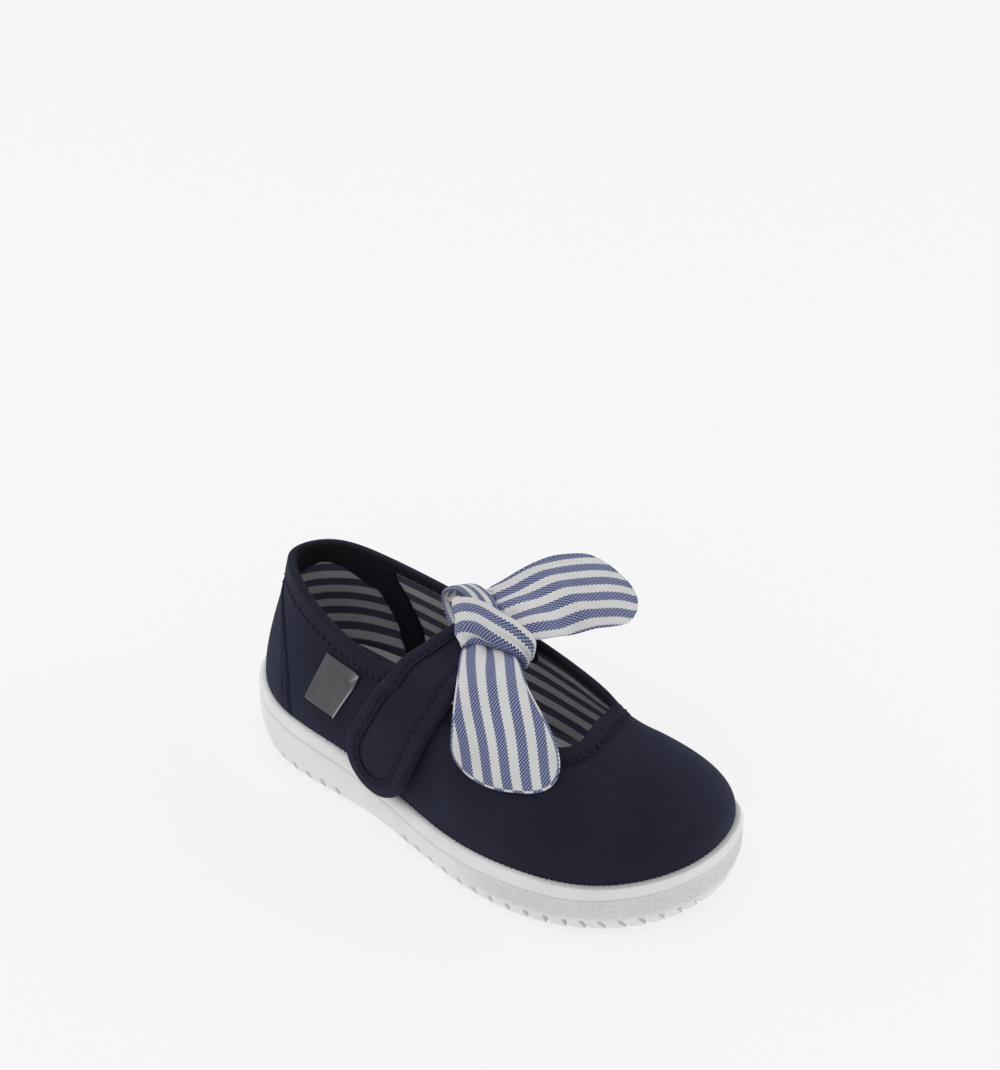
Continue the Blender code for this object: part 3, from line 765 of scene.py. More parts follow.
def make_insole():
    """Padded insole under striped cloth. Rings run from the middle of its underside out, up its rounded
    edge and back in to the middle of its top, which is dished by 0.5 mm and a little uneven. Round the
    heel its edge is cupped: it stands up by 2.4 mm and falls smoothly over 2.6 mm inwards."""
    u = np.linspace(0, 1, 360, endpoint=False)
    line, normal = sole_outline(u)
    x0 = line[:, 0]
    spine = np.stack(spine_of(x0, 2.0), 1)
    full = FOXING_INSET + WALL + 0.5
    cup = 2.4 * (1 - smooth(40.0, 62.0, x0))

    def standing(inset):
        """How far the cupped edge stands up, inset mm in from it."""
        return cup * (1 - smooth(0.0, 2.6, inset))

    rings = [raised(spine, FLOOR + 0.1)]
    for inset, z in ((0.6, 0.1), (0.1, 0.6)):
        rings.append(raised(line - normal * (full + inset), FLOOR + z))
    for inset, z in ((0.0, -1.6), (0.15, -0.8), (0.5, -0.3), (0.8, -0.1), (1.1, 0.0), (1.5, 0.03)):
        rings.append(raised(line - normal * (full + inset), INSOLE_TOP + z + standing(inset)))
    rim = line - normal * (full + 1.9)
    for part in np.linspace(0, 1, 22):
        plan = rim + (spine - rim) * part
        uneven = 0.10 * np.sin(plan[:, 0] * 0.21) * np.sin(plan[:, 1] * 0.26 + 0.6)
        dish = 0.5 if part == 1 else 0.5 * smooth(0.0, 0.7, part) + uneven * smooth(0, 0.3, part)
        rise = standing(1.9 + part * np.linalg.norm(spine - rim, axis=1))
        rings.append(raised(plan, INSOLE_TOP + 0.05 - dish + rise))
    grid = np.array(rings)
    over = np.sign(grid[..., 1]) * (grid[..., 2] - INSOLE_TOP).clip(0)
    uv = joined(np.stack([grid[..., 0], grid[..., 1] + over + 1.0], -1), (False, True))
    # painted shade, darker towards the heel
    marks = {"shade": painted_heel_shade(grid)}
    made = skin("insole", grid, uv, [look("lining")], "insole_cloth", ["insole"], marks=marks)
    return made


# ---------------------------------------------------------------- upper

# Front edge of the heel counter, as x and z.
COUNTER_SEAM = (
    (8.4, 49.5),
    (11.5, 46.3),
    (17.2, 41.6),
    (22.4, 36.3),
    (26.7, 30.2),
    (28.8, 22.3),
    (29.2, 18.0),
)
# Depth of the heel facing below the topline, at distances u round the shoe from its back.
FACING_DEPTHS = (
    (0.000, 10.8),
    (0.010, 9.5),
    (0.026, 7.7),
    (0.039, 6.8),
    (0.049, 7.3),
    (0.059, 8.4),
    (0.068, 9.6),
    (0.076, 10.9),
    (0.083, 12.7),
    (0.091, 13.5),
    (0.102, 14.0),
    (0.118, 14.2),
)
# The two edges of the tape over the lining's seam, as x and z, and the line between the two cloths.
TAPE_BACK = (
    (15.5, 49.5),
    (20.0, 44.5),
    (22.9, 42.4),
    (25.4, 41.2),
    (26.5, 39.0),
    (28.0, 34.4),
    (29.4, 30.8),
    (30.4, 27.4),
    (30.9, 23.4),
    (32.5, 19.4),
    (33.5, 15.6),
)
TAPE_FRONT = (
    (26.5, 54.5),
    (29.5, 52.0),
    (30.7, 50.8),
    (33.8, 48.2),
    (35.3, 45.3),
    (36.6, 41.3),
    (37.5, 37.7),
    (38.5, 34.6),
    (39.6, 31.1),
    (39.9, 27.4),
    (41.0, 15.6),
)
LINING_JOIN = ((37.2, 15.6), (35.1, 27.4), (33.2, 34.5), (31.1, 41.0), (28.5, 44.5), (26.0, 52.0))
# Outside width of the collar binding, at places u round the shoe.
BINDING_WIDTHS = (
    (0.0, 6.0),
    (0.073, 6.2),
    (0.113, 5.5),
    (0.153, 5.1),
    (0.20, 4.7),
    (0.36, 5.2),
    (0.50, 5.4),
    (0.62, 5.2),
    (0.72, 5.0),
    (0.86, 5.0),
    (0.95, 5.6),
    (1.0, 6.0),
)
BINDING_STANDARD = 0.0053  # the width in metres that the table above is drawn for
AROUND = 720  # columns of the upper's cloth
UPPER_GIRTH = 395.0  # mm round the upper, at the counter's height, that go to 1 in u
LINING_GIRTH, FACING_GIRTH = 380.0, 330.0  # the same for the lining and for the heel facing
COUNTER_ROWS = (0.9, 4.2)  # the counter's two rows of stitches, in mm from its edge

# Soft creases of the canvas: how far out, where along the shoe 30 mm up, how much that moves back for
# each mm higher, half width, side of the shoe, and the heights between which they set in.
Crease = namedtuple("Crease", "out x lean width side low high")
CREASES = (
    Crease(-0.35, 64, -0.25, 4.5, -1, 20, 30),
    Crease(0.25, 90, 0.35, 5.0, -1, 18, 28),
    Crease(-0.3, 98, 0.5, 4.0, -1, 20, 32),
    Crease(-0.3, 66, -0.2, 6.0, 1, 20, 32),
    Crease(0.2, 100, 0.4, 5.0, 1, 18, 28),
)


def soft_creases(u, t):
    """Hollows and swellings of the canvas, in mm out. Each is a bell across a leaning line
    that fades in over 8 mm from the middle of the shoe, and the last is a bow across the toe."""
    p = upper_face(u, t)
    x, y, z = p[..., 0], p[..., 1], p[..., 2]
    out = 0.0
    for c in CREASES:
        across = bell((x - c.x + c.lean * (z - 30)) / c.width)
        out = out + c.out * across * smooth(0.0, 8.0 * c.side, y) * smooth(c.low, c.high, z)
    out = out - 0.22 * bell((x - 124 + 0.06 * (y - 8) ** 2 / 4) / 3.5) * smooth(34, 38, z)
    return out * smooth(0.0, 0.12, t) * (1 - smooth(0.93, 1.0, t))


def band_between(u, t_high, out, thick, rows):
    """A folded band of cloth on the upper, from the rubber up to t_high: rows up its outer face, out mm
    off the upper's own face, round its edge and down its inner face, thick mm further in. Also the t of
    its rows."""
    t = t_high * np.linspace(0, 1, rows)[:, None]
    outer = off_face(u[None], t, out + soft_creases(u[None], t))
    inner = outer - upper_normal(u[None], t) * thick
    rim = (outer[-1:] + inner[-1:]) / 2 + unit(outer[-1:] - outer[-2:-1]) * thick * 0.4
    return np.concatenate([outer, rim, inner[::-1]]), t


def foot_ring(u, inset, z):
    """The sole's outline, inset mm inside the upper's foot, at height z, as a grid of one row."""
    outline, normal = sole_outline(u)
    return raised(outline - normal * (FOXING_INSET + inset), z)[None]


def make_canvas():
    """The outer cloth of the upper, one band from inside the rubber to the topline."""
    u = np.arange(AROUND) / AROUND
    band, t = band_between(u, 1.0, -0.10, 0.75, rows=50)
    grid = np.concatenate([foot_ring(u, 0.1, FLOOR + 0.6), band, foot_ring(u, 0.8, FLOOR + 0.6)])
    depth = depth_of(u[None], t)
    flat = flat_cloth(u[None], depth)
    low = flat_cloth(u, depth[0] + 6.0)[None]
    uv = joined(np.concatenate([low, flat, flat[-1:], flat[::-1], low, low]), (False, True))
    return skin("upper_canvas", grid, uv, [look("canvas")], "canvas", ["upper"], wrap=(True, True))


def lining_stripes(u, t):
    """Coordinates of the striped lining. Forward of the tape its stripes follow the topline, so across
    is the depth below it; behind the tape they run level, rising a little forward."""
    depth = depth_of(u, t)
    p = upper_face(u, t)
    front = paired(last_at(u).top_x, depth + 0.15)
    behind = paired(u * LINING_GIRTH, -(p[..., 2] - 0.08 * (p[..., 0] - 16) - 44.5) + 1.55)
    return front, behind


def make_lining():
    """The striped cloth inside the upper, one band from the insole to the topline. It is two cloths,
    which meet on a line under the seam tapes."""
    u = np.arange(AROUND) / AROUND
    band, t = band_between(u, 0.985, -0.95, 0.75, rows=42)
    hem_z = FLOOR + 1.0
    grid = np.concatenate([foot_ring(u, 1.0, hem_z), band, foot_ring(u, 1.7, hem_z)])
    around = np.append(u, 1.0)[None]
    drop = upper_face(around, 0.0)[..., 2] - hem_z
    cloths = []
    for values in lining_stripes(around, t):
        low = values[:1] + np.stack([0 * drop, drop], -1)
        cloths.append(corners(np.concatenate([low, values, values[-1:], values[::-1], low, low])))
    join = np.array(LINING_JOIN)
    place = upper_face(around, t)
    ahead = place[..., 0] - np.interp(place[..., 2], join[:, 1], join[:, 0])
    ahead = np.concatenate([ahead[:1], ahead, ahead[-1:], ahead[::-1], ahead[:1], ahead[:1]])
    at_heel = (corners(ahead[..., None]).mean(axis=-2) < 0)[..., None, :]
    uv = np.where(at_heel, cloths[1], cloths[0])
    # painted shade, darker towards the heel
    marks = {"shade": painted_heel_shade(grid)}
    return skin("upper_lining", grid, uv, [look("lining")], "lining", wrap=(True, True), marks=marks)


def stitches_along(line, out, sizes, end_gap=1.0, closed=False):
    """Places, directions and outward normals of stitches at an even pitch along a line of points."""
    run = chords(line)
    start = 0.0 if closed else end_gap
    length = run[-1] - 2 * start
    count = max(1, round(length / (sizes.stitch_pitch / MM)))
    at = start + (np.arange(count) + 0.5) * length / count
    along = straight(at + 0.3, run, line) - straight(at - 0.3, run, line)
    return straight(at, run, line), unit(along), unit(straight(at, run, out))


def make_stitching(name, rows, slot, sizes):
    """Stitches, each a closed capsule: half width times sqrt(1 - s^2) round a line that arches down at
    both ends, where s runs from -1 to 1 along it. All of them are one array."""
    centre, along, normal = (np.concatenate([row[k] for row in rows])[:, None, None] for k in range(3))
    side = unit(np.cross(normal, along))
    normal = np.cross(along, side)
    s = np.sin(np.linspace(-pi / 2, pi / 2, 7))[:, None]
    turn = np.linspace(0, 2 * pi, 6, endpoint=False)[None]
    half, wide, high = sizes.stitch / MM / 2, 0.34, 0.30
    body = np.sqrt(1 - s**2)
    x, y, z = s * half, body * wide * np.cos(turn), body * high * np.sin(turn) - 0.30 * s**2
    grid = centre + along * x[..., None] + side * y[..., None] + normal * z[..., None]
    uv = paired(s * half, np.linspace(0, 1.8, 7)[None])
    uv = np.broadcast_to(uv, (len(grid),) + uv.shape)
    return skin(name, grid, uv, [look("thread")], slot)


def make_collar_binding(sizes):
    """Bias tape folded over the topline. Its section runs up the outside from its folded edge, round the
    topline as a half ellipse and a little way down inside. It puckers in step with its stitches."""
    count = 1200
    u = np.arange(count) / count
    row = last_at(u)
    run = chords(loop(np.stack([row.top_x, row.top_y, row.top_z], 1)))
    scale = sizes.collar_binding / BINDING_STANDARD
    width = read(BINDING_WIDTHS, u) * scale
    seam = width - 1.15
    stitches = round(run[-1] / (sizes.stitch_pitch / MM))
    beat = np.cos(2 * pi * stitches * run[:-1] / run[-1])
    rise = sizes.binding_rise / MM
    by_strap = smooth(58.0, 62.0, row.top_x) * (1 - smooth(83.0, 87.0, row.top_x))
    pressed = 1 - 0.55 * by_strap * smooth(0.0, -8.0, row.top_y)

    from_edge = np.concatenate([[0.0, 0.10, 0.3, 0.6], np.linspace(0.9, 1.6, 5), np.linspace(1.9, 5.0, 8)])
    from_edge = from_edge[:, None]
    down = width - np.minimum(from_edge, width - 0.25)
    valley = bell((down - seam) / 0.50)
    pucker = 0.13 * beat * bell((down - seam) / 1.1)
    crown = 0.10 * np.sin(pi * np.clip((width - down) / width, 0, 1))
    out = (rise * dome(from_edge / 0.5) + crown - 0.34 * valley + pucker) * pressed
    t = at_depth(u[None], down)
    outside = off_face(u[None], t, out - 0.12 + soft_creases(u[None], t))

    face = upper_normal(u, 1.0)
    up = unit(upper_face(u, 1.0) - upper_face(u, 0.97))
    turn = np.linspace(0, pi, 11)[1:-1, None, None]
    over = upper_face(u, 1.0) - face * 0.93 + face * np.cos(turn) * 1.28 + up * np.sin(turn) * 0.85

    # down inside, raised less and less, then back through the cloth to the folded edge
    depths = np.array([0.0, 0.6, 1.2, 1.7, 2.1, 2.3, 2.36])[:, None] * scale
    lip = np.array([0.42, 0.42, 0.42, 0.40, 0.36, 0.2, 0.02])[:, None]
    inside = off_face(u[None], at_depth(u[None], depths), -WALL - lip + 0.04 * beat)
    back_in = off_face(u[None], at_depth(u[None], 2.2), -1.2)
    back_out = off_face(u[None], at_depth(u[None], width[None] - 0.3), -0.6)
    grid = np.concatenate([outside, over, inside, back_in, back_out])
    girth = chords(grid).mean(axis=1)
    uv = on_bias(paired(run[None], np.append(girth, girth[-1] + 2.0)[:, None]))
    # painted shade: past the top, the inside of the binding takes the near-black finish of the seam tape,
    # as it lies in shade
    inner = (np.arange(len(grid)) > len(outside) + 4)[:, None]
    # painted shade in the valley of the stitches and along the folded edge
    crease_shade = np.zeros(grid.shape[:2])
    crease_shade[: len(outside)] = np.clip(0.75 * valley * (0.75 + 0.25 * beat) + bell(from_edge / 0.22), 0, 1)
    looks = [look("binding"), look("tape")]
    more = {"wrap": (True, True), "face_look": inner, "marks": {"crease_shade": crease_shade}}
    made = skin("collar_binding", grid, uv, looks, "canvas", **more)

    t = at_depth(u, seam)
    line = off_face(u, t, (rise - 0.05) * pressed - 0.1)
    return made, stitches_along(loop(line), loop(upper_normal(u, t)), sizes, closed=True)


def two_faces(name, face, back, uv, looks, slot, marks=None, **more):
    """A closed body between two grids that meet along their rims: the face, then the back run backwards.
    Both have the same place on the flat cloth."""
    face, back = face.copy(), back.copy()
    face[:, [0, -1]] = back[:, [0, -1]] = (face[:, [0, -1]] + back[:, [0, -1]]) / 2
    face[[0, -1]] = back[[0, -1]] = (face[[0, -1]] + back[[0, -1]]) / 2
    grid = np.concatenate([face, back[:, -2:0:-1]], axis=1)
    flat = np.concatenate([corners(uv), corners(uv[:, ::-1])], axis=1)
    marks = {
        mark: np.concatenate([values, values[:, -2:0:-1]], axis=1) for mark, values in (marks or {}).items()
    }
    return skin(name, grid, flat, looks, slot, marks=marks, **more)


def make_inner_trims():
    """The dark facing inside the heel, and the tape that covers the lining's seam on both sides, down to
    the insole. Each is a strip on the inner face of the lining, rounded off towards its edges."""
    made = []
    u = np.linspace(-0.118, 0.118, 281)[None]
    part = np.linspace(0, 1, 26)[:, None]
    depth = 0.6 + (read(FACING_DEPTHS, np.abs(u)) - 0.6) * part
    t = at_depth(u, depth)
    face = off_face(u, t, -WALL - 0.34 * rounded_ends(part, 16))
    back = off_face(u, t, -WALL + 0.15)
    uv = paired(u * FACING_GIRTH, depth)
    made.append(two_faces("heel_facing", face, back, uv, [look("tape")], "lining"))
    rows = np.linspace(0, 1, 70)
    back_edge, front_edge = curve(TAPE_BACK, rows)[:, None], curve(TAPE_FRONT, rows)[:, None]
    part = np.linspace(0, 1, 22)[None, :, None]
    place = back_edge + (front_edge - back_edge) * part
    uv = paired(chords(place[:, 11])[:, None], (part[..., 0] - 0.5) * 9.0)
    rounded = rounded_ends(np.linspace(-1, 1, 22)[None], 12)
    rounded = rounded * (0.3 + 0.7 * smooth(0.08, 0.26, rows))[:, None]
    for side, name in ((1, "inner"), (-1, "outer")):
        u, t = on_wall(place[..., 0], place[..., 1], side)
        face = off_face(u, t, -WALL - 0.10 - 0.5 * rounded)
        back = off_face(u, t, -WALL + 0.1)
        made.append(two_faces(f"seam_tape_{name}", face, back, uv, [look("tape")], "lining"))
    return made


def make_counter(sizes):
    """The heel counter: a second layer of canvas round the heel, between two curved front edges, each
    turned under to a ridge and stitched with two rows. Returns the piece and its stitch lines."""
    rows = np.linspace(0, 1, 60)
    edge = curve(COUNTER_SEAM, rows)
    u_outer, t_outer = on_wall(edge[:, 0], edge[:, 1], -1)
    u_inner, t_inner = on_wall(edge[:, 0], edge[:, 1] + 0.8, 1)
    u_inner = u_inner - 1.0
    part = np.linspace(0, 1, 220)
    part = part - 0.06 * np.sin(2 * pi * part)
    u = u_inner[:, None] + (u_outer - u_inner)[:, None] * part
    t = t_inner[:, None] + (t_outer - t_inner)[:, None] * part
    gap = np.minimum(u - u_inner[:, None], u_outer[:, None] - u) * UPPER_GIRTH
    beat = np.cos(2 * pi * chords(edge) / (sizes.stitch_pitch / MM))[:, None]
    valleys = sum(bell((gap - distance) / 0.45) for distance in COUNTER_ROWS)
    swell = 0.16 * bell((gap - 2.5) / 1.1) * (1 + 0.35 * beat)
    out = -0.1 + (0.34 * dome(gap / 0.55) - 0.26 * valleys + swell) * (1 - smooth(6.0, 12.0, gap) * 0.35)
    out = out * smooth(-0.01, 0.05, t) * (1 - 0.4 * smooth(0.95, 1.0, t)) + soft_creases(u, t)
    out = out - 0.35 * (1 - smooth(0.0, 0.12, rows))[:, None]
    # painted shade in the valleys of the stitches and along the turned edge
    marks = {"crease_shade": np.clip(0.8 * valleys * (0.6 + 0.4 * beat) + bell(gap / 0.2), 0, 1)}
    uv = flat_cloth(u, depth_of(u, t))
    face, back = off_face(u, t, out), off_face(u, t, -0.6)
    made = two_faces("heel_counter", face, back, uv, [look("canvas")], "canvas", marks=marks)
    lines = []
    inside_ends = slice(4, 56)
    for distance in COUNTER_ROWS:
        for u_edge, t_edge, sign in ((u_outer, t_outer, -1), (u_inner, t_inner, 1)):
            where = u_edge + sign * distance / UPPER_GIRTH
            line, normal = off_face(where, t_edge, 0.22), upper_normal(where, t_outer)
            lines.append(stitches_along(line[inside_ends], normal[inside_ends], sizes, 0.4))
    return made, lines


# ---------------------------------------------------------------- strap and patch

# The strap's free end is a half disc: its middle, its radius and how far it leans forward.
TAB_X, TAB_Z, TAB_RADIUS, TAB_LEAN = 66.6, 27.5, 12.0, radians(18)
# The strap's flap on the outer quarter: how far above the half disc's middle, how far off the quarter,
# and how much of the lean its lines across keep.
FLAP = (
    (-14.0, 3.07, 1.0),
    (-9.5, 2.86, 1.0),
    (-4.5, 2.62, 1.0),
    (0.0, 2.4, 1.0),
    (4.75, 2.1, 0.85),
    (9.5, 1.7, 0.6),
    (16.5, 0.9, 0.6),
)
# The strap between its flap and the inner quarter: x, y and z of its middle, and its half width.
STRAP = (
    (73.8, -20.7, 47.2, 10.9),
    (74.1, -17.4, 50.1, 10.5),
    (74.5, -10.5, 51.9, 9.8),
    (75.8, -2.0, 53.9, 9.2),
    (76.6, 6.0, 54.6, 8.8),
    (76.0, 11.0, 53.2, 9.0),
    (75.0, 13.8, 50.3, 9.3),
)
TUCK_X, TUCK_CLEAR = 74.2, 0.5  # where the sewn end lies, and how far off the lining
STRAP_THICKNESS = 2.2
STRAP_SIDE = 15.0  # the strap's middle surface is worked out this far to both sides
STRAP_STEP = 2.5  # from one of its splines to the next
STRAP_CANVAS_INSET = 1.3  # the canvas ends this far inside the tape's rim
# The film patch on the outer quarter: x and z of its corners, from the upper rear one round.
PATCH = ((38.4, 42.9), (52.6, 42.1), (45.7, 27.0), (34.3, 28.7))


def strap_table():
    """The strap's middle surface as rows of points across it, with how far along it each row stands,
    from its tip, and its half width there. On both quarters it stands off upper_face by its clearance."""
    across = np.arange(-STRAP_SIDE, STRAP_SIDE + STRAP_STEP / 2, STRAP_STEP)
    flat = 0 * across
    rows, along, half = [], [], []
    for up, clear, twist in FLAP:
        x = TAB_X + up * sin(TAB_LEAN) + across * cos(TAB_LEAN)
        z = TAB_Z + up * cos(TAB_LEAN) - across * sin(TAB_LEAN) * twist
        y = upper_face(*on_wall(x, z, -1))[:, 1] - clear - STRAP_THICKNESS / 2
        rows.append(np.stack([x, y, z], 1))
        along.append(TAB_RADIUS + up)
        half.append(np.interp(up, (0.0, 9.5, 16.5), (12.0, 11.9, 11.4)))
    for x, y, z, wide in STRAP:
        rows.append(np.stack([x + across, flat + y, flat + z], 1))
        half.append(wide)
    for z in (45.0, 40.5):
        x = TUCK_X + across
        y = upper_face(*on_wall(x, z, 1))[:, 1] - WALL - TUCK_CLEAR - STRAP_THICKNESS / 2
        rows.append(np.stack([x, y, flat + z], 1))
        half.append(9.3)
    rows = np.array(rows)
    after_flap = chords(rows[len(FLAP) - 1 :, len(across) // 2])[1:]
    return across, np.append(along, along[-1] + after_flap), rows, np.array(half)


class StrapSurface:
    """The middle surface of the strap: a spline along it of splines across it. a is the distance from its
    tip and b the distance from its middle line, forward positive, in mm."""

    def __init__(self):
        self.across, self.along, self.rows, self.half = strap_table()
        self.length = self.along[-1]

    def point(self, a, b):
        """Along it a cubic spline. Across it the cubic between two neighbours whose slopes are half the
        step between the points before and after them."""
        a, b = np.broadcast_arrays(np.asarray(a, float), np.asarray(b, float))
        lines = spline(self.along, self.rows, a)
        last = len(self.across) - 1
        i = np.clip(((b + STRAP_SIDE) / STRAP_STEP).astype(int), 0, last - 1)
        before, near, far, after = (
            np.take_along_axis(lines, np.clip(i + step, 0, last)[..., None, None], axis=-2)[..., 0, :]
            for step in (-1, 0, 1, 2)
        )
        p = ((b - self.across[i]) / STRAP_STEP)[..., None]
        start, end = (far - before) / 2 * p * (1 - p) ** 2, (after - near) / 2 * p**2 * (p - 1)
        return near * (1 + 2 * p) * (1 - p) ** 2 + start + far * p**2 * (3 - 2 * p) + end

    def normal(self, a, b):
        """The unit cross product of its two slopes, pointing out."""
        along = self.point(a + 0.05, b) - self.point(a - 0.05, b)
        sideways = self.point(a, b + 0.05) - self.point(a, b - 0.05)
        return unit(np.cross(sideways, along))

    def disc(self, a, inset=0.0):
        """Half width of the half disc at its free end, inset mm inside its rim."""
        radius = TAB_RADIUS - inset
        return np.sqrt(np.clip(radius**2 - np.clip(TAB_RADIUS - a, 0, None) ** 2, 0, None))

    def half_width(self, a):
        """Half width: the disc's up to its middle, and then a spline."""
        first = [up for up, _, _ in FLAP].index(0.0)
        flap = spline(self.along[first:], self.half[first:, None], np.maximum(a, TAB_RADIUS))[..., 0]
        return np.where(a < TAB_RADIUS, self.disc(a), flap)

    def outline(self, count):
        """The rim of the strap as points (a, b), evenly spaced: up the rear edge, reversed, round the
        half disc and up the front edge; unit directions into the strap; and the distance along it."""
        a = np.linspace(self.length, TAB_RADIUS, 120)
        half = self.half_width(a)
        turn = np.linspace(-pi / 2, pi / 2, 160)[1:-1]
        disc = np.stack([TAB_RADIUS - TAB_RADIUS * np.cos(turn), TAB_RADIUS * np.sin(turn)], 1)
        rim = np.concatenate([np.stack([a, -half], 1), disc, np.stack([a, half], 1)[::-1]])
        run = chords(rim)
        at = np.linspace(0, run[-1], count)
        rim = straight(at, run, rim)
        along = unit(np.gradient(rim, axis=0))
        return rim, np.stack([along[:, 1], -along[:, 0]], 1), at


def make_strap(sizes):
    """The strap's canvas and the bias tape round its rim. The canvas is a slab inside the tape. The
    tape's section runs from its folded edge on top, d mm inside the rim, round the rim and back below."""
    surface = StrapSurface()
    made = []
    wide = sizes.strap_binding / MM
    rows = np.concatenate([[1.35], np.linspace(1.9, surface.length, 110)])[:, None]
    q = np.linspace(-1, 1, 56)[None]
    half = surface.half_width(rows) - STRAP_CANVAS_INSET
    half = np.where(rows < TAB_RADIUS, surface.disc(rows, STRAP_CANVAS_INSET).clip(0.1), half)
    a, b = np.broadcast_arrays(rows, q * half)
    middle, normal = surface.point(a, b), surface.normal(a, b)
    crown = np.cos(q * pi / 2)
    pillow = 0.10 * crown + 0.12 * np.sin(a * 0.35 + 1.0) * crown * smooth(12, 20, a)
    face = middle + normal * (0.92 + pillow)[..., None]
    back = middle - normal * 0.9
    to_rim = np.where(
        a < TAB_RADIUS, TAB_RADIUS - np.hypot(TAB_RADIUS - a, b), surface.half_width(a) - np.abs(b)
    )
    uv = paired(a, b)
    # painted shade on the canvas along the binding's edge
    more = {"marks": {"crease_shade": bell(np.clip(to_rim - wide, 0, None) / 0.45)}, "replaces": ["strap"]}
    made.append(two_faces("strap_canvas", face, back, uv, [look("strap")], "strap_canvas", **more))

    rim, inward, run = surface.outline(560)
    beat = np.cos(2 * pi * run / (sizes.stitch_pitch / MM))[None]
    seam = wide - 1.2
    from_fold = wide - np.array([0.0, 0.08, 0.25, 0.5, 0.8, 1.05, 1.3, 1.6])
    d = np.concatenate([from_fold, np.linspace(wide - 2.0, 1.2, 6), [0.8, 0.45, 0.2, 0.05, 0.0]])[:, None]
    top = 0.94 * dome(d / 1.25) + 0.50 * dome((wide - d) / 0.30) * smooth(0.0, 0.6, d)
    top = top + 0.08 * np.sin(pi * d / wide)
    top = top - 0.32 * bell((d - seam) / 0.50) + 0.12 * beat * bell((d - seam) / 1.2)
    low_d = np.array([0.05, 0.2, 0.45, 0.8, 1.4, 2.6, 4.0, wide - 0.5, wide - 0.2])[:, None]
    low = -1.08 * dome(low_d / 1.25) + 0 * beat
    low[-1] = -0.7
    all_d = np.concatenate([d, low_d, [[wide - 0.2]]])
    lift = np.concatenate([top, low, 0.5 + 0 * beat])
    place = rim[None] + inward[None] * all_d[..., None]
    a, b = place[..., 0], place[..., 1]
    grid = np.swapaxes(surface.point(a, b) + surface.normal(a, b) * lift[..., None], 0, 1)
    # painted shade in the valley of the stitches and along the tape's folded edge on top
    shade = (0.75 * bell((all_d - seam) / 0.50) + bell((all_d - wide) / 0.16)) * (0.8 + 0.2 * beat)
    shade[len(d) :] = 0
    shade = np.clip(shade, 0, 1).T
    ends = [np.repeat(grid[[k]].mean(axis=1, keepdims=True), grid.shape[1], axis=1) for k in (0, -1)]
    grid = np.concatenate([ends[0], grid, ends[1]])
    girth = np.concatenate([[0.0], np.cumsum(np.abs(np.diff(all_d[:, 0])) + 0.15)])
    girth = np.append(girth, girth[-1] + 0.5)
    steps = np.concatenate([[run[0] - 0.5], run, [run[-1] + 0.5]])
    uv = on_bias(paired(steps[:, None], girth[None]))
    marks = {"crease_shade": np.concatenate([shade[:1], shade, shade[-1:]])}
    made.append(skin("strap_binding", grid, uv, [look("binding")], "strap_canvas", marks=marks))
    a, b = (rim + inward * seam).T
    normal = surface.normal(a, b)
    return made, [stitches_along(surface.point(a, b) + normal * 1.30, normal, sizes, 3.0)]


def make_patch():
    """Bare film patch on the outer quarter: a grid between four corners on the canvas, by straight steps
    between them, with shallow crumples and its upper front corner curled up."""
    u, t = on_wall(*np.array(PATCH).T, -1)
    a = np.linspace(0, 1, 40)[:, None]
    b = np.linspace(0, 1, 36)[None]

    def between(c):
        """The values c at the four corners, blended over the patch."""
        return (1 - a) * ((1 - b) * c[0] + b * c[1]) + a * ((1 - b) * c[3] + b * c[2])

    u, t = between(u), between(t)
    curl = np.clip(1 - np.hypot(a, 1 - b) / 0.30, 0, 1)
    crumple = 0.10 * np.sin(7 * a + 2 * b) * np.sin(5 * b + 1.0) + 0.05 * np.sin(13 * b - 6 * a)
    out = 0.32 + crumple * 0.8 + 1.3 * curl**1.6 + 0.25 * smooth(0.93, 1.0, b) * smooth(0.2, 0.7, a)
    out = out + soft_creases(u, t)
    face, back = off_face(u, t, out + 0.08), off_face(u, t, out - 0.08)
    # painted highlight: a pale line along the lower part of the front edge, and a streak across the curl
    front_edge = smooth(0.955, 0.985, b) * smooth(0.2, 0.45, a)
    curl_glint = 0.6 * bell((a - 1.2 * (1 - b)) / 0.03) * curl**0.5
    uv = paired(a * 15, b * 14)
    marks = {"edge": np.clip(front_edge + curl_glint, 0, 1)}
    return two_faces("film_patch", face, back, uv, [look("film")], "patch_film", marks=marks)


# ---------------------------------------------------------------- bow

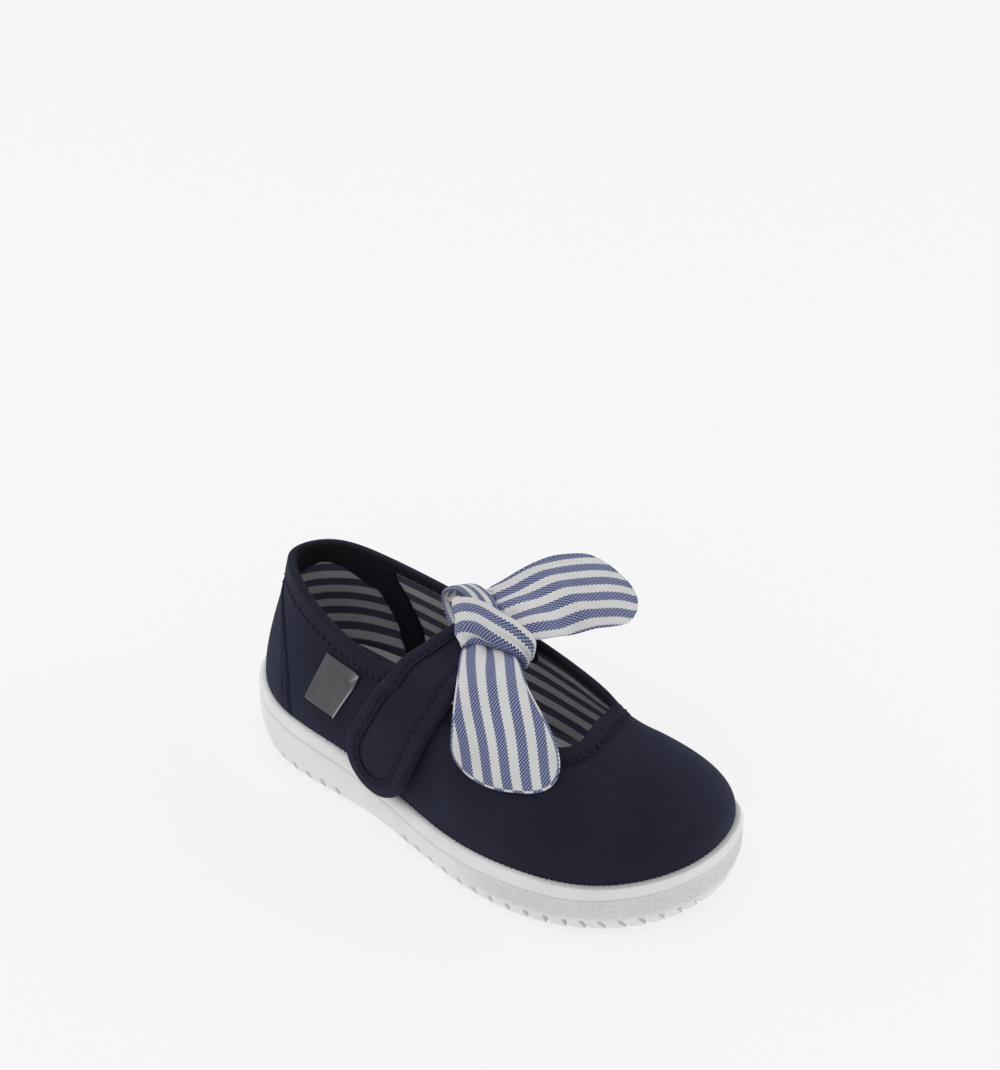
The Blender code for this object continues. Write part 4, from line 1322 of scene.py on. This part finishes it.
# A sheet of cloth: x, y and z of its two edges, row by row along it, and how far its middle is bowed out.
FRONT_TAIL = (
    (73.4, 1.2, 54.0, 85.0, 2.7, 54.6, 0.6),
    (76.2, -4.7, 54.6, 90.7, 0.5, 55.2, 0.9),
    (81.9, -13.3, 53.8, 99.2, -5.8, 55.2, 1.0),
    (86.4, -19.9, 50.8, 106.5, -10.0, 53.6, 0.9),
    (89.1, -24.1, 45.9, 112.7, -12.2, 50.2, 0.7),
    (90.8, -26.5, 41.2, 117.7, -14.6, 46.4, 0.5),
    (93.0, -28.5, 37.2, 120.9, -17.1, 41.6, 0.3),
    (96.4, -31.2, 33.8, 124.0, -19.9, 37.0, 0.2),
)
BACK_TAIL = (
    (87.0, 5.7, 56.6, 68.9, 11.1, 60.0, 0.4),
    (90.9, 10.4, 56.2, 70.7, 17.5, 62.6, 0.6),
    (92.8, 17.5, 54.6, 73.2, 24.0, 64.0, 0.8),
    (94.8, 24.6, 52.6, 74.8, 32.5, 64.2, 0.9),
    (96.6, 31.7, 50.6, 77.0, 40.0, 62.6, 0.8),
    (97.9, 38.1, 48.8, 79.6, 46.8, 60.0, 0.6),
    (98.6, 43.6, 47.4, 83.0, 51.0, 57.0, 0.4),
    (98.8, 47.4, 46.4, 86.0, 53.6, 54.4, 0.3),
)
BAND = (
    (64.5, 5.3, 60.0, 77.3, -6.8, 56.6, 0.5),
    (67.6, 5.5, 61.8, 77.5, -4.6, 57.6, 1.2),
    (71.5, 5.6, 63.0, 78.7, -2.8, 58.4, 1.5),
    (77.5, 5.6, 63.4, 82.1, -2.1, 58.6, 1.5),
    (82.9, 5.1, 63.4, 85.8, -1.7, 58.4, 1.5),
    (86.9, 5.5, 62.6, 88.6, -0.7, 57.4, 1.4),
    (89.9, 6.1, 61.0, 90.1, 0.7, 55.8, 1.2),
    (91.5, 7.0, 58.6, 90.8, 1.9, 53.4, 0.9),
    (92.0, 6.2, 55.8, 90.8, 2.6, 51.4, 0.5),
    (91.4, 4.9, 52.6, 90.4, 2.7, 50.0, 0.3),
)
LIP = (
    (76.7, -5.2, 56.0, 77.1, -5.1, 55.4, 0.3),
    (76.7, -3.2, 56.8, 78.0, -3.9, 56.0, 0.3),
    (78.1, -1.4, 57.5, 79.9, -2.9, 56.4, 0.3),
    (81.4, -0.5, 57.7, 81.9, -1.8, 56.4, 0.3),
    (84.5, 0.0, 57.5, 83.8, -1.2, 56.2, 0.3),
    (86.9, 0.7, 56.9, 85.8, -0.3, 55.6, 0.3),
    (88.5, 1.6, 55.9, 87.5, 0.7, 54.8, 0.3),
    (89.8, 2.9, 54.3, 88.8, 1.8, 53.4, 0.3),
    (90.3, 3.7, 52.4, 89.6, 2.8, 51.6, 0.3),
    (91.0, 3.9, 50.6, 90.9, 2.9, 50.0, 0.3),
)
WRAP = (
    (64.0, 5.2, 50.2, 62.8, 14.0, 51.0, 0.3),
    (60.0, 7.5, 50.8, 60.1, 15.4, 52.2, 0.4),
    (57.3, 9.0, 52.4, 59.3, 15.3, 54.2, 0.4),
    (56.2, 9.6, 55.0, 60.2, 14.4, 57.0, 0.3),
    (57.5, 9.5, 57.6, 63.3, 13.6, 59.6, 0.2),
    (59.6, 9.4, 59.3, 67.0, 13.0, 61.2, 0.2),
    (62.6, 8.8, 60.6, 71.5, 11.6, 61.8, 0.2),
    (66.0, 7.7, 61.1, 75.8, 9.8, 61.5, 0.3),
    (68.8, 6.8, 60.8, 79.2, 7.8, 60.4, 0.4),
    (70.9, 6.4, 59.6, 80.8, 6.8, 58.6, 0.4),
)
FOLD = (
    (55.7, 12.5, 55.8, 63.9, 11.5, 60.2, 0.3),
    (55.2, 12.0, 54.0, 65.3, 10.5, 59.7, 0.3),
    (56.8, 11.0, 53.8, 66.4, 9.8, 58.9, 0.3),
    (58.9, 10.0, 54.1, 68.2, 8.6, 58.3, 0.3),
)
CORE = (
    (65.8, 3.0, 57.6, 66.3, 9.3, 56.4, 0.4),
    (70.0, 1.8, 58.0, 70.5, 10.0, 56.8, 0.8),
    (78.0, 1.2, 57.9, 78.5, 10.2, 56.6, 0.9),
    (85.0, 1.2, 57.0, 85.5, 9.2, 55.8, 0.7),
    (89.8, 2.6, 55.2, 90.1, 7.0, 54.2, 0.3),
)
UNDER = (
    (63.5, 8.0, 51.6, 65.0, 12.0, 51.4, 0.0),
    (66.0, 3.0, 50.4, 67.5, 11.0, 50.0, 0.0),
    (72.0, 0.5, 49.9, 73.0, 10.0, 49.8, 0.0),
    (80.0, 0.5, 49.9, 81.0, 9.5, 49.8, 0.0),
    (88.0, 1.5, 50.6, 88.5, 8.5, 50.4, 0.0),
    (91.5, 4.0, 53.0, 92.0, 7.0, 53.0, 0.0),
)


class Cloth:
    """A sheet of cloth between two edges, worked out on a fine grid. l runs along it in mm and q across
    it from -1 to 1. A point is the middle of the two edges plus q half their distance, raised along the
    normal by bow (1 - q^2) and by the folds. flat is the distance along the cloth from its middle line,
    so a fold takes up cloth; where the cloth is gathered, full gives the flat distances of its two edges.
    gather (g, d) packs the cloth evenly: its flat distances are g + d q times what they measure. side
    is -1 where the face lies on the other side of the rows, so that bow and folds swap sides."""

    def __init__(self, table, folds=None, full=None, gather=(1.0, 0.0), side=1, rows=240, across=161):
        table = np.array(table, float)
        knots = chords((table[:, 0:3] + table[:, 3:6]) / 2)
        self.length = knots[-1]
        l, q = np.linspace(0, self.length, rows), np.linspace(-1, 1, across)
        place = spline(knots, table, l)[:, None]
        a, b = place[..., 0:3], place[..., 3:6]
        half = np.linalg.norm(b - a, axis=-1) / 2
        middle = (a + b) / 2
        up = side * unit(np.cross((b - a)[:, 0], np.gradient(middle[:, 0], axis=0)))[:, None]
        lift = place[..., 6] * (1 - q**2)
        if folds is not None:
            lift = lift + folds(l[:, None], q * half, half)
        sheet = middle + (b - a) / 2 * q[None, :, None] + up * lift[..., None]
        flat = chords(np.swapaxes(sheet, 0, 1)).T
        flat = (flat - flat[:, across // 2][:, None]) * (gather[0] + gather[1] * q)
        if full is not None:
            low, high = (np.broadcast_to(value, l.shape)[:, None] for value in full(l))
            flat = low + (high - low) * (flat - flat[:, :1]) / (flat[:, -1:] - flat[:, :1])
        own = grid_normals(sheet)
        own = np.where((own * up).sum(-1, keepdims=True) < 0, -own, own)
        self.half = half[:, 0]
        self.fields = np.concatenate([sheet, own, flat[..., None]], axis=-1)

    def half_width(self, l):
        """Half the distance between the two edges."""
        return np.interp(l, np.linspace(0, self.length, len(self.half)), self.half)

    def at(self, l, b):
        """Point, normal and flat distance at l along the cloth and b mm from its middle, by straight
        lines between the four nearest points of the grid."""
        rows, across = self.fields.shape[:2]
        i = np.clip(l / self.length, 0, 1) * (rows - 1)
        j = (np.clip(b / self.half_width(l), -1, 1) + 1) / 2 * (across - 1)
        i0, j0 = np.minimum(i.astype(int), rows - 2), np.minimum(j.astype(int), across - 2)
        p, r = (i - i0)[..., None], (j - j0)[..., None]
        here, ahead = (
            (1 - r) * self.fields[i0 + k, j0] + r * self.fields[i0 + k, j0 + 1] for k in (0, 1)
        )
        found = (1 - p) * here + p * ahead
        return found[..., 0:3], unit(found[..., 3:6]), found[..., 6]


def cut_outline(cloth, ends, corner, count):
    """The outline of a piece of cloth as places (l, b): a straight end at the knot with corners of a
    small radius, two edges, and an end that follows |q|^power + e^power = 1 over its last reach mm. ends
    holds reach and power for the edge with b above 0, then for the other."""
    edges = []
    bend = np.linspace(0, pi / 2, 9)[:-1]
    turn = np.linspace(0, pi / 2, 60)
    for (reach, power), side in zip(ends, (1, -1)):
        start = cloth.length - reach
        q = np.concatenate([np.ones(80), np.cos(turn) ** (2 / power)])
        l = np.concatenate([np.linspace(corner, start, 80), start + reach * np.sin(turn) ** (2 / power)])
        b = np.concatenate([cloth.half_width(0) - corner * (1 - np.sin(bend)), q * cloth.half_width(l)])
        l = np.concatenate([corner * (1 - np.cos(bend)), l])
        edges.append(np.stack([l, side * b], 1))
    outline = loop(np.concatenate([edges[0], edges[1][::-1][1:]]))
    run = chords(outline)
    keep = np.concatenate([[True], np.diff(run) > 1e-6])
    at = np.linspace(0, run[-1], count, endpoint=False)
    return straight(at, run[keep], outline[keep])


def front_folds(l, b, half):
    """Front tail: a deep channel down from the knot beside its middle, steep on its left, and two long
    shallow rolls lower down."""
    fade = 1 - smooth(3.0, 17.0, l)
    wide = np.where(b < -0.6, 0.8, 2.0)
    channel = -0.9 * bell((b + 0.6) / wide) + 0.5 * bell((b + 4.0) / 2.0)
    return channel * fade + 0.22 * np.sin(b * 0.42 + 0.8) * smooth(10, 20, l)


def back_folds(l, b, half):
    """Back tail: hollows and swellings by the knot, a ridge that crosses it half way, and a gentle wave
    along its lower edge."""
    fade = 1 - smooth(4.0, 16.0, l)
    gathers = 0.55 * np.sin(b * 0.85 + 0.4) * fade
    ridge = 0.75 * bell((l - 20 + 0.45 * b) / 4.0) - 0.65 * bell((l - 12 + 0.45 * b) / 4.0)
    return gathers + ridge - 0.5 * np.sin((l - 8) * 0.20) * smooth(5, 11, -b)


def band_folds(l, b, half):
    """Knot band: its near edge rolls in to a sharp fold, and fine gathers run where it narrows."""
    share = b / half
    roll = 0.5 * bell((share - 0.62) / 0.22) - 0.7 * smooth(0.80, 1.0, share)
    gathers = 0.16 * np.sin(share * 9.5 + 0.5) * smooth(7.0, 16.0, l)
    return roll + gathers


def even(stripes):
    """Edges that lie this many stripes to both sides of the middle."""
    return lambda l: (-stripes, stripes)


def narrowing(l):
    """Edges of the knot's band: cloth goes missing on one side where it is tucked in."""
    return -2.5, 2.5 - 0.45 * smooth(0.5, 6.0, l) - 0.38 * smooth(6.0, 18.0, l)


# A bag of cloth. rows, folds, full, gather and side are Cloth's, with full in stripes. ends and corner
# are cut_outline's, and points is how many its outline has. thick and lip are its thickness and how far
# in from its rim that is reached, puff a soft swelling and seam a seam's distance from the rim, 0 for
# none. middle and back are the places of its middle line on the cloth, in stripes, on its two sides, and
# weave is how many mm of cloth go to one mm along it.
Bag = namedtuple(
    "Bag",
    "name rows ends thick lip middle folds full gather side corner points puff seam back weave replaces",
    defaults=(None, None, (1.0, 0.0), 1, 0.8, 300, 0.0, 0.0, None, 1.0, ()),
)
PLAIN_END = ((2.0, 4.0), (2.0, 4.0))
TAILS = (
    Bag(
        name="bow_tail_front",
        rows=FRONT_TAIL,
        ends=((11.0, 2.7), (13.0, 2.3)),
        thick=1.0,
        lip=0.5,
        middle=1.5,
        folds=front_folds,
        side=-1,
        corner=1.5,
        puff=0.3,
        seam=0.62,
        back=2.5,
        replaces=["bow_tail_front"],
    ),
    Bag(
        name="bow_tail_back",
        rows=BACK_TAIL,
        ends=((14.0, 2.15), (10.5, 2.2)),
        thick=1.0,
        lip=0.5,
        middle=0.6,
        folds=back_folds,
        gather=(1.10, 0.08),
        side=-1,
        corner=1.5,
        puff=0.3,
        seam=0.62,
        back=0.45,
        weave=0.70,
        replaces=["bow_tail_back"],
    ),
)
TAIL_FLATS = ((0.031, 0.046), (0.027, 0.046))  # the rectangles they were cut from, in metres
KNOT = (
    Bag(
        name="bow_knot_band",
        rows=BAND,
        ends=((3.0, 2.6), (3.0, 2.6)),
        thick=1.6,
        lip=0.8,
        middle=0.5,
        folds=band_folds,
        full=narrowing,
        puff=0.25,
        replaces=["bow_knot"],
    ),
    Bag(
        name="bow_knot_lip",
        rows=LIP,
        ends=PLAIN_END,
        thick=2.0,
        lip=0.95,
        middle=1.5,
        full=even(0.5),
        corner=0.5,
        points=200,
    ),
    Bag(
        name="bow_knot_wrap",
        rows=WRAP,
        ends=PLAIN_END,
        thick=1.3,
        lip=0.65,
        middle=1.5,
        full=even(2.5),
        side=-1,
        back=4.15,
    ),
    Bag(
        name="bow_knot_fold",
        rows=FOLD,
        ends=((1.0, 4.0), (1.0, 4.0)),
        thick=0.8,
        lip=0.4,
        middle=1.0,
        full=even(1.0),
        corner=0.5,
        points=140,
    ),
    Bag(
        name="bow_knot_core",
        rows=CORE,
        ends=PLAIN_END,
        thick=4.8,
        lip=2.2,
        middle=0.5,
        points=160,
        puff=0.2,
    ),
    Bag(
        name="bow_knot_under",
        rows=UNDER,
        ends=PLAIN_END,
        thick=1.4,
        lip=0.7,
        middle=1.5,
        points=160,
    ),
)
# How far from the rim a bag's last rings lie, as shares of the distance where they begin.
NEAR_RIM = (0.86, 0.72, 0.6, 0.5, 0.42, 0.35, 0.28, 0.22, 0.16, 0.10, 0.05, 0.015)


def make_bag(bag, stripe):
    """A flat bag of doubled cloth. Rings run from its middle line, over its face and out to the rim, and
    back below. Its faces stand off the cloth's own surface by half the thickness times
    sqrt(1 - (1 - d/lip)^2), where d is the distance to the rim, plus a soft puff. Past the seam, which
    lies on the face, the cloth is that of the back."""
    full = bag.full and (lambda l: [edge * stripe for edge in bag.full(l)])
    cloth = Cloth(bag.rows, bag.folds, full, bag.gather, bag.side)
    outline = cut_outline(cloth, bag.ends, bag.corner, bag.points)
    along = unit(np.roll(outline, -1, axis=0) - np.roll(outline, 1, axis=0))
    inward = np.stack([-along[:, 1], along[:, 0]], 1)
    if (inward * (outline.mean(axis=0) - outline)).sum() < 0:
        inward = -inward
    deep = min(2.2, 0.8 * np.abs(outline[:, 1]).max())
    near_rim = deep * np.array(NEAR_RIM)
    if bag.seam:
        near_rim = np.sort(np.append(near_rim, bag.seam + np.array([0.14, 0.06, 0.0, -0.06])))[::-1]
    inner = outline + inward * deep
    step = cloth.length / 60
    low, high = 2.5 * step, cloth.length - max(4.0, 0.25 * cloth.half_width(cloth.length * 0.7))
    spine = np.stack([step * np.round(np.clip(outline[:, 0], low, high) / step), 0 * outline[:, 0]], 1)
    parts = np.linspace(0, 1, 20)
    places = [spine + (inner - spine) * part for part in parts] + [outline + inward * d for d in near_rim]
    places, depths = np.array(places), np.concatenate([deep + 6 * (1 - parts), near_rim])[:, None]
    point, normal, flat = cloth.at(places[..., 0], places[..., 1])
    rise = bag.thick / 2 * dome(depths / bag.lip) + bag.puff * smooth(0.0, 7.0, depths)
    groove = 0.14 * bell((depths - bag.seam) / 0.11) if bag.seam else 0.0
    face = point + normal * (rise - groove)[..., None]
    back = point - normal * rise[..., None]
    rim_point, _, rim_flat = cloth.at(outline[:, 0], outline[:, 1])
    grid = np.concatenate([face, rim_point[None], back[::-1]])
    across = np.concatenate([flat, rim_flat[None], flat[::-1]])
    long = np.concatenate([places[..., 0], outline[None, :, 0], places[::-1, :, 0]])
    uv = joined(np.stack([long * bag.weave, across], -1), (False, True))
    face_rows = (depths[:, 0] > bag.seam + 0.01).sum() if bag.seam else len(face)
    back_middle = bag.middle if bag.back is None else bag.back
    shift = np.where(np.arange(len(grid) - 1) < face_rows, bag.middle * stripe, back_middle * stripe)
    uv = corners(uv) + np.stack([0 * shift, shift], -1)[:, None, None]
    return skin(bag.name, grid, uv, [look("bow")], "bow_cloth", bag.replaces)


def make_tails(sizes):
    """The two tails of the tie, each a bag of striped cloth, sewn, turned out, pressed and hung."""
    made = []
    for bag, flat in zip(TAILS, TAIL_FLATS):
        piece = make_bag(bag, sizes.stripe / MM)
        made.append(piece)
    return made


def make_knot(sizes):
    """The knot: a band gathered over the strap with a rolled lip below it, a wrap that curls round
    behind with a fold inside it, the bundled cloth between band and strap, and the cloth that passes
    under the strap. Each is a bag of cloth between two edges."""
    return [make_bag(bag, sizes.stripe / MM) for bag in KNOT]


# ---------------------------------------------------------------- stage

VIEW_AZIMUTH, VIEW_ELEVATION, VIEW_ROLL = radians(39.94), radians(33.51), radians(0.20)
VIEW_DISTANCE, VIEW_TARGET = 0.80884, (-0.01517, 0.08418, 0.020)
VIEW_LENS = 87.25
SHOE_MIDDLE = (0.04, 0, 0.02)
FLOOR_SIDE = 6.0
# Soft boxes: name, place, size and power.
SOFT_BOXES = (
    ("box_above", (0.05, -0.1, 1.3), 1.2, 9.0),
    ("box_left", (-1.1, -0.5, 0.6), 0.8, 6.0),
    ("box_right", (0.9, 0.9, 0.6), 0.8, 6.0),
)


def stand(name, data, place, right, up, back):
    """A camera or a light at a place, turned so that it looks away from back."""
    made = bpy.data.objects.new(name, data)
    turn = Matrix([[*row] for row in np.stack([right, up, back], 1)]).to_4x4()
    made.matrix_world = Matrix.Translation(place) @ turn
    bpy.context.scene.collection.objects.link(made)
    return made


def make_camera():
    """The camera stands off its target by its distance, at an azimuth from -Y towards +X and an elevation
    above the floor, with a small roll."""
    a, e, r = VIEW_AZIMUTH, VIEW_ELEVATION, VIEW_ROLL
    back = np.array([sin(a) * cos(e), -cos(a) * cos(e), sin(e)])
    right = np.array([cos(a), sin(a), 0.0])
    up = np.cross(back, right)
    right, up = cos(r) * right + sin(r) * up, cos(r) * up - sin(r) * right
    data = bpy.data.cameras.new("camera")
    data.lens = VIEW_LENS
    data.sensor_width = 36.0
    data.dof.use_dof = False
    made = stand("camera", data, np.array(VIEW_TARGET) + back * VIEW_DISTANCE, right, up, back)
    bpy.context.scene.camera = made
    return made


def make_light(name, place, size, power):
    """A square soft box that looks from its place at the middle of the shoe."""
    data = bpy.data.lights.new(name, "AREA")
    data.shape = "SQUARE"
    data.size = size
    data.energy = power
    back = unit(np.array(place) - np.array(SHOE_MIDDLE))
    right = unit(np.cross([0.0, 1.0, 0.001], back))
    return stand(name, data, place, right, np.cross(back, right), back)


def make_stage(sizes, colours):
    """Pale floor, a bright even sky and three soft boxes."""
    mesh = bpy.data.meshes.new("floor")
    sides = [(x * FLOOR_SIDE, y * FLOOR_SIDE, 0) for x, y in ((-1, -1), (1, -1), (1, 1), (-1, 1))]
    mesh.from_pydata(sides, [], [(0, 1, 2, 3)])
    mesh.materials.append(
        Wiring("floor").finish(
            Base_Color=rgba(colours.floor),
            Roughness=0.9,
            Specular_IOR_Level=0.0,
            Emission_Color=(1.0, 1.0, 1.0, 1.0),
            Emission_Strength=sizes.floor_glow,
        )
    )
    floor = bpy.data.objects.new("floor", mesh)
    scene = bpy.context.scene
    scene.collection.objects.link(floor)
    world = bpy.data.worlds.new("studio")
    world.use_nodes = True
    sky = world.node_tree.nodes["Background"]
    sky.inputs["Color"].default_value = (1, 1, 1, 1)
    sky.inputs["Strength"].default_value = sizes.sky
    scene.world = world
    for name, place, size, power in SOFT_BOXES:
        make_light(name, place, size, power * sizes.boxes)
    scene.view_settings.view_transform = "Standard"
    return floor


# ---------------------------------------------------------------- add-on


def length_property(name, description, default):
    """A length in metres."""
    return bpy.props.FloatProperty(
        name=name,
        description=description,
        default=default,
        min=0.00001,
        max=0.1,
        unit="LENGTH",
        subtype="DISTANCE",
        precision=5,
    )


def strength_property(name, description, default, high):
    """How strong a light is."""
    return bpy.props.FloatProperty(name=name, description=description, default=default, min=0.0, max=high)


def colour_property(name, description, default):
    """A colour, as linear red, green and blue."""
    return bpy.props.FloatVectorProperty(
        name=name, description=description, default=default, size=3, min=0.0, max=1.0, subtype="COLOR"
    )


class ShoeSizes(bpy.types.PropertyGroup):
    """Sizes of the shoe's trim."""

    stripe: length_property("Stripe", "Width of one stripe of the bow's cloth", 0.0027)
    lining_stripe: length_property("Lining stripe", "Width of one stripe of the lining", 0.0031)
    thread: length_property("Thread", "Distance between the canvas's threads", 0.00042)
    collar_binding: length_property("Collar binding", "Width of the tape over the topline", 0.0053)
    strap_binding: length_property("Strap binding", "Width of the tape round the strap", 0.0054)
    binding_rise: length_property("Binding rise", "How far the tape stands above the canvas", 0.00042)
    stitch: length_property("Stitch", "Length of one stitch", 0.00165)
    stitch_pitch: length_property("Stitch pitch", "Distance from stitch to stitch", 0.00255)
    upper_band: length_property("Upper band", "Height of the sole's smooth upper band", 0.0041)
    groove: length_property("Groove", "Depth of the groove under the upper band", 0.00045)
    floor_glow: strength_property("Floor glow", "Light given off by the floor", 0.66, 2.0)
    sky: strength_property("Sky", "Strength of the even light from all round", 0.70, 5.0)
    boxes: strength_property("Soft boxes", "Strength of the soft boxes", 0.30, 20.0)


class ShoeColours(bpy.types.PropertyGroup):
    """Colours of the shoe's materials."""

    navy: colour_property("Navy", "Canvas of the upper and the strap", (0.0152, 0.0160, 0.0290))
    binding: colour_property("Binding", "Tape round the topline and the strap", (0.0140, 0.0148, 0.0265))
    tape: colour_property("Seam tape", "Tape over the lining's seam", (0.0100, 0.0095, 0.0105))
    thread: colour_property("Thread", "Sewing thread", (0.0150, 0.0165, 0.0350))
    white: colour_property("White", "White stripes", (0.70, 0.70, 0.705))
    blue: colour_property("Dark blue", "Dark threads of the blue stripes", (0.042, 0.048, 0.145))
    pale_blue: colour_property("Pale blue", "Pale threads of the blue stripes", (0.38, 0.42, 0.62))
    lining_blue: colour_property("Lining dark blue", "Dark threads of the lining", (0.075, 0.075, 0.125))
    lining_pale: colour_property("Lining pale blue", "Pale threads of the lining", (0.125, 0.125, 0.200))
    rubber: colour_property("Rubber", "Sole", (0.79, 0.805, 0.80))
    film: colour_property("Film", "Patch of film on the heel side", (0.041, 0.041, 0.050))
    floor: colour_property("Floor", "Studio floor", (0.30, 0.30, 0.30))


class MakeSole(bpy.types.Operator):
    """Make the rubber cup sole"""

    bl_idname = "shoe.sole"
    bl_label = "Sole"

    def execute(self, context):
        make_sole(context.scene.shoe_sizes)
        return {"FINISHED"}


class MakeInsole(bpy.types.Operator):
    """Make the padded insole"""

    bl_idname = "shoe.insole"
    bl_label = "Insole"

    def execute(self, context):
        make_insole()
        return {"FINISHED"}


class MakeUpper(bpy.types.Operator):
    """Make the upper's canvas and lining, the heel counter, the binding, and the trims inside"""

    bl_idname = "shoe.upper"
    bl_label = "Upper"

    def execute(self, context):
        sizes = context.scene.shoe_sizes
        make_canvas()
        make_lining()
        make_inner_trims()
        _, counter_rows = make_counter(sizes)
        _, collar_row = make_collar_binding(sizes)
        make_stitching("upper_stitches", [collar_row, *counter_rows], "canvas", sizes)
        return {"FINISHED"}


class MakeStrap(bpy.types.Operator):
    """Make the strap with its binding and stitches"""

    bl_idname = "shoe.strap"
    bl_label = "Strap"

    def execute(self, context):
        sizes = context.scene.shoe_sizes
        _, rows = make_strap(sizes)
        make_stitching("strap_stitches", rows, "strap_canvas", sizes)
        return {"FINISHED"}


class MakePatch(bpy.types.Operator):
    """Make the bare patch of film on the heel side"""

    bl_idname = "shoe.patch"
    bl_label = "Film patch"

    def execute(self, context):
        make_patch()
        return {"FINISHED"}


class MakeBow(bpy.types.Operator):
    """Make the tie: its knot and its two tails"""

    bl_idname = "shoe.bow"
    bl_label = "Bow"

    def execute(self, context):
        make_knot(context.scene.shoe_sizes)
        make_tails(context.scene.shoe_sizes)
        return {"FINISHED"}


class MakeStage(bpy.types.Operator):
    """Make the floor, the lights and the camera"""

    bl_idname = "shoe.stage"
    bl_label = "Stage"

    def execute(self, context):
        make_stage(context.scene.shoe_sizes, context.scene.shoe_colours)
        make_camera()
        return {"FINISHED"}


MAKERS = (MakeSole, MakeInsole, MakeUpper, MakeStrap, MakePatch, MakeBow, MakeStage)


class ShoePanel(bpy.types.Panel):
    """The shoe's makers, sizes and colours"""

    bl_idname = "VIEW3D_PT_shoe"
    bl_label = "Mary jane shoe"
    bl_space_type = "VIEW_3D"
    bl_region_type = "UI"
    bl_category = "Shoe"

    def draw(self, context):
        for maker in MAKERS:
            self.layout.operator(maker.bl_idname)
        for group in (context.scene.shoe_sizes, context.scene.shoe_colours):
            box = self.layout.box()
            for name in group.__annotations__:
                box.prop(group, name)


CLASSES = (ShoeSizes, ShoeColours, *MAKERS, ShoePanel)


def register():
    for item in CLASSES:
        bpy.utils.register_class(item)
    bpy.types.Scene.shoe_sizes = bpy.props.PointerProperty(type=ShoeSizes)
    bpy.types.Scene.shoe_colours = bpy.props.PointerProperty(type=ShoeColours)


def unregister():
    del bpy.types.Scene.shoe_colours
    del bpy.types.Scene.shoe_sizes
    for item in reversed(CLASSES):
        bpy.utils.unregister_class(item)


def main():
    register()
    bpy.ops.shoe.sole()
    bpy.ops.shoe.insole()
    bpy.ops.shoe.upper()
    bpy.ops.shoe.strap()
    bpy.ops.shoe.patch()
    bpy.ops.shoe.bow()
    bpy.ops.shoe.stage()


if __name__ == "__main__":
    main()
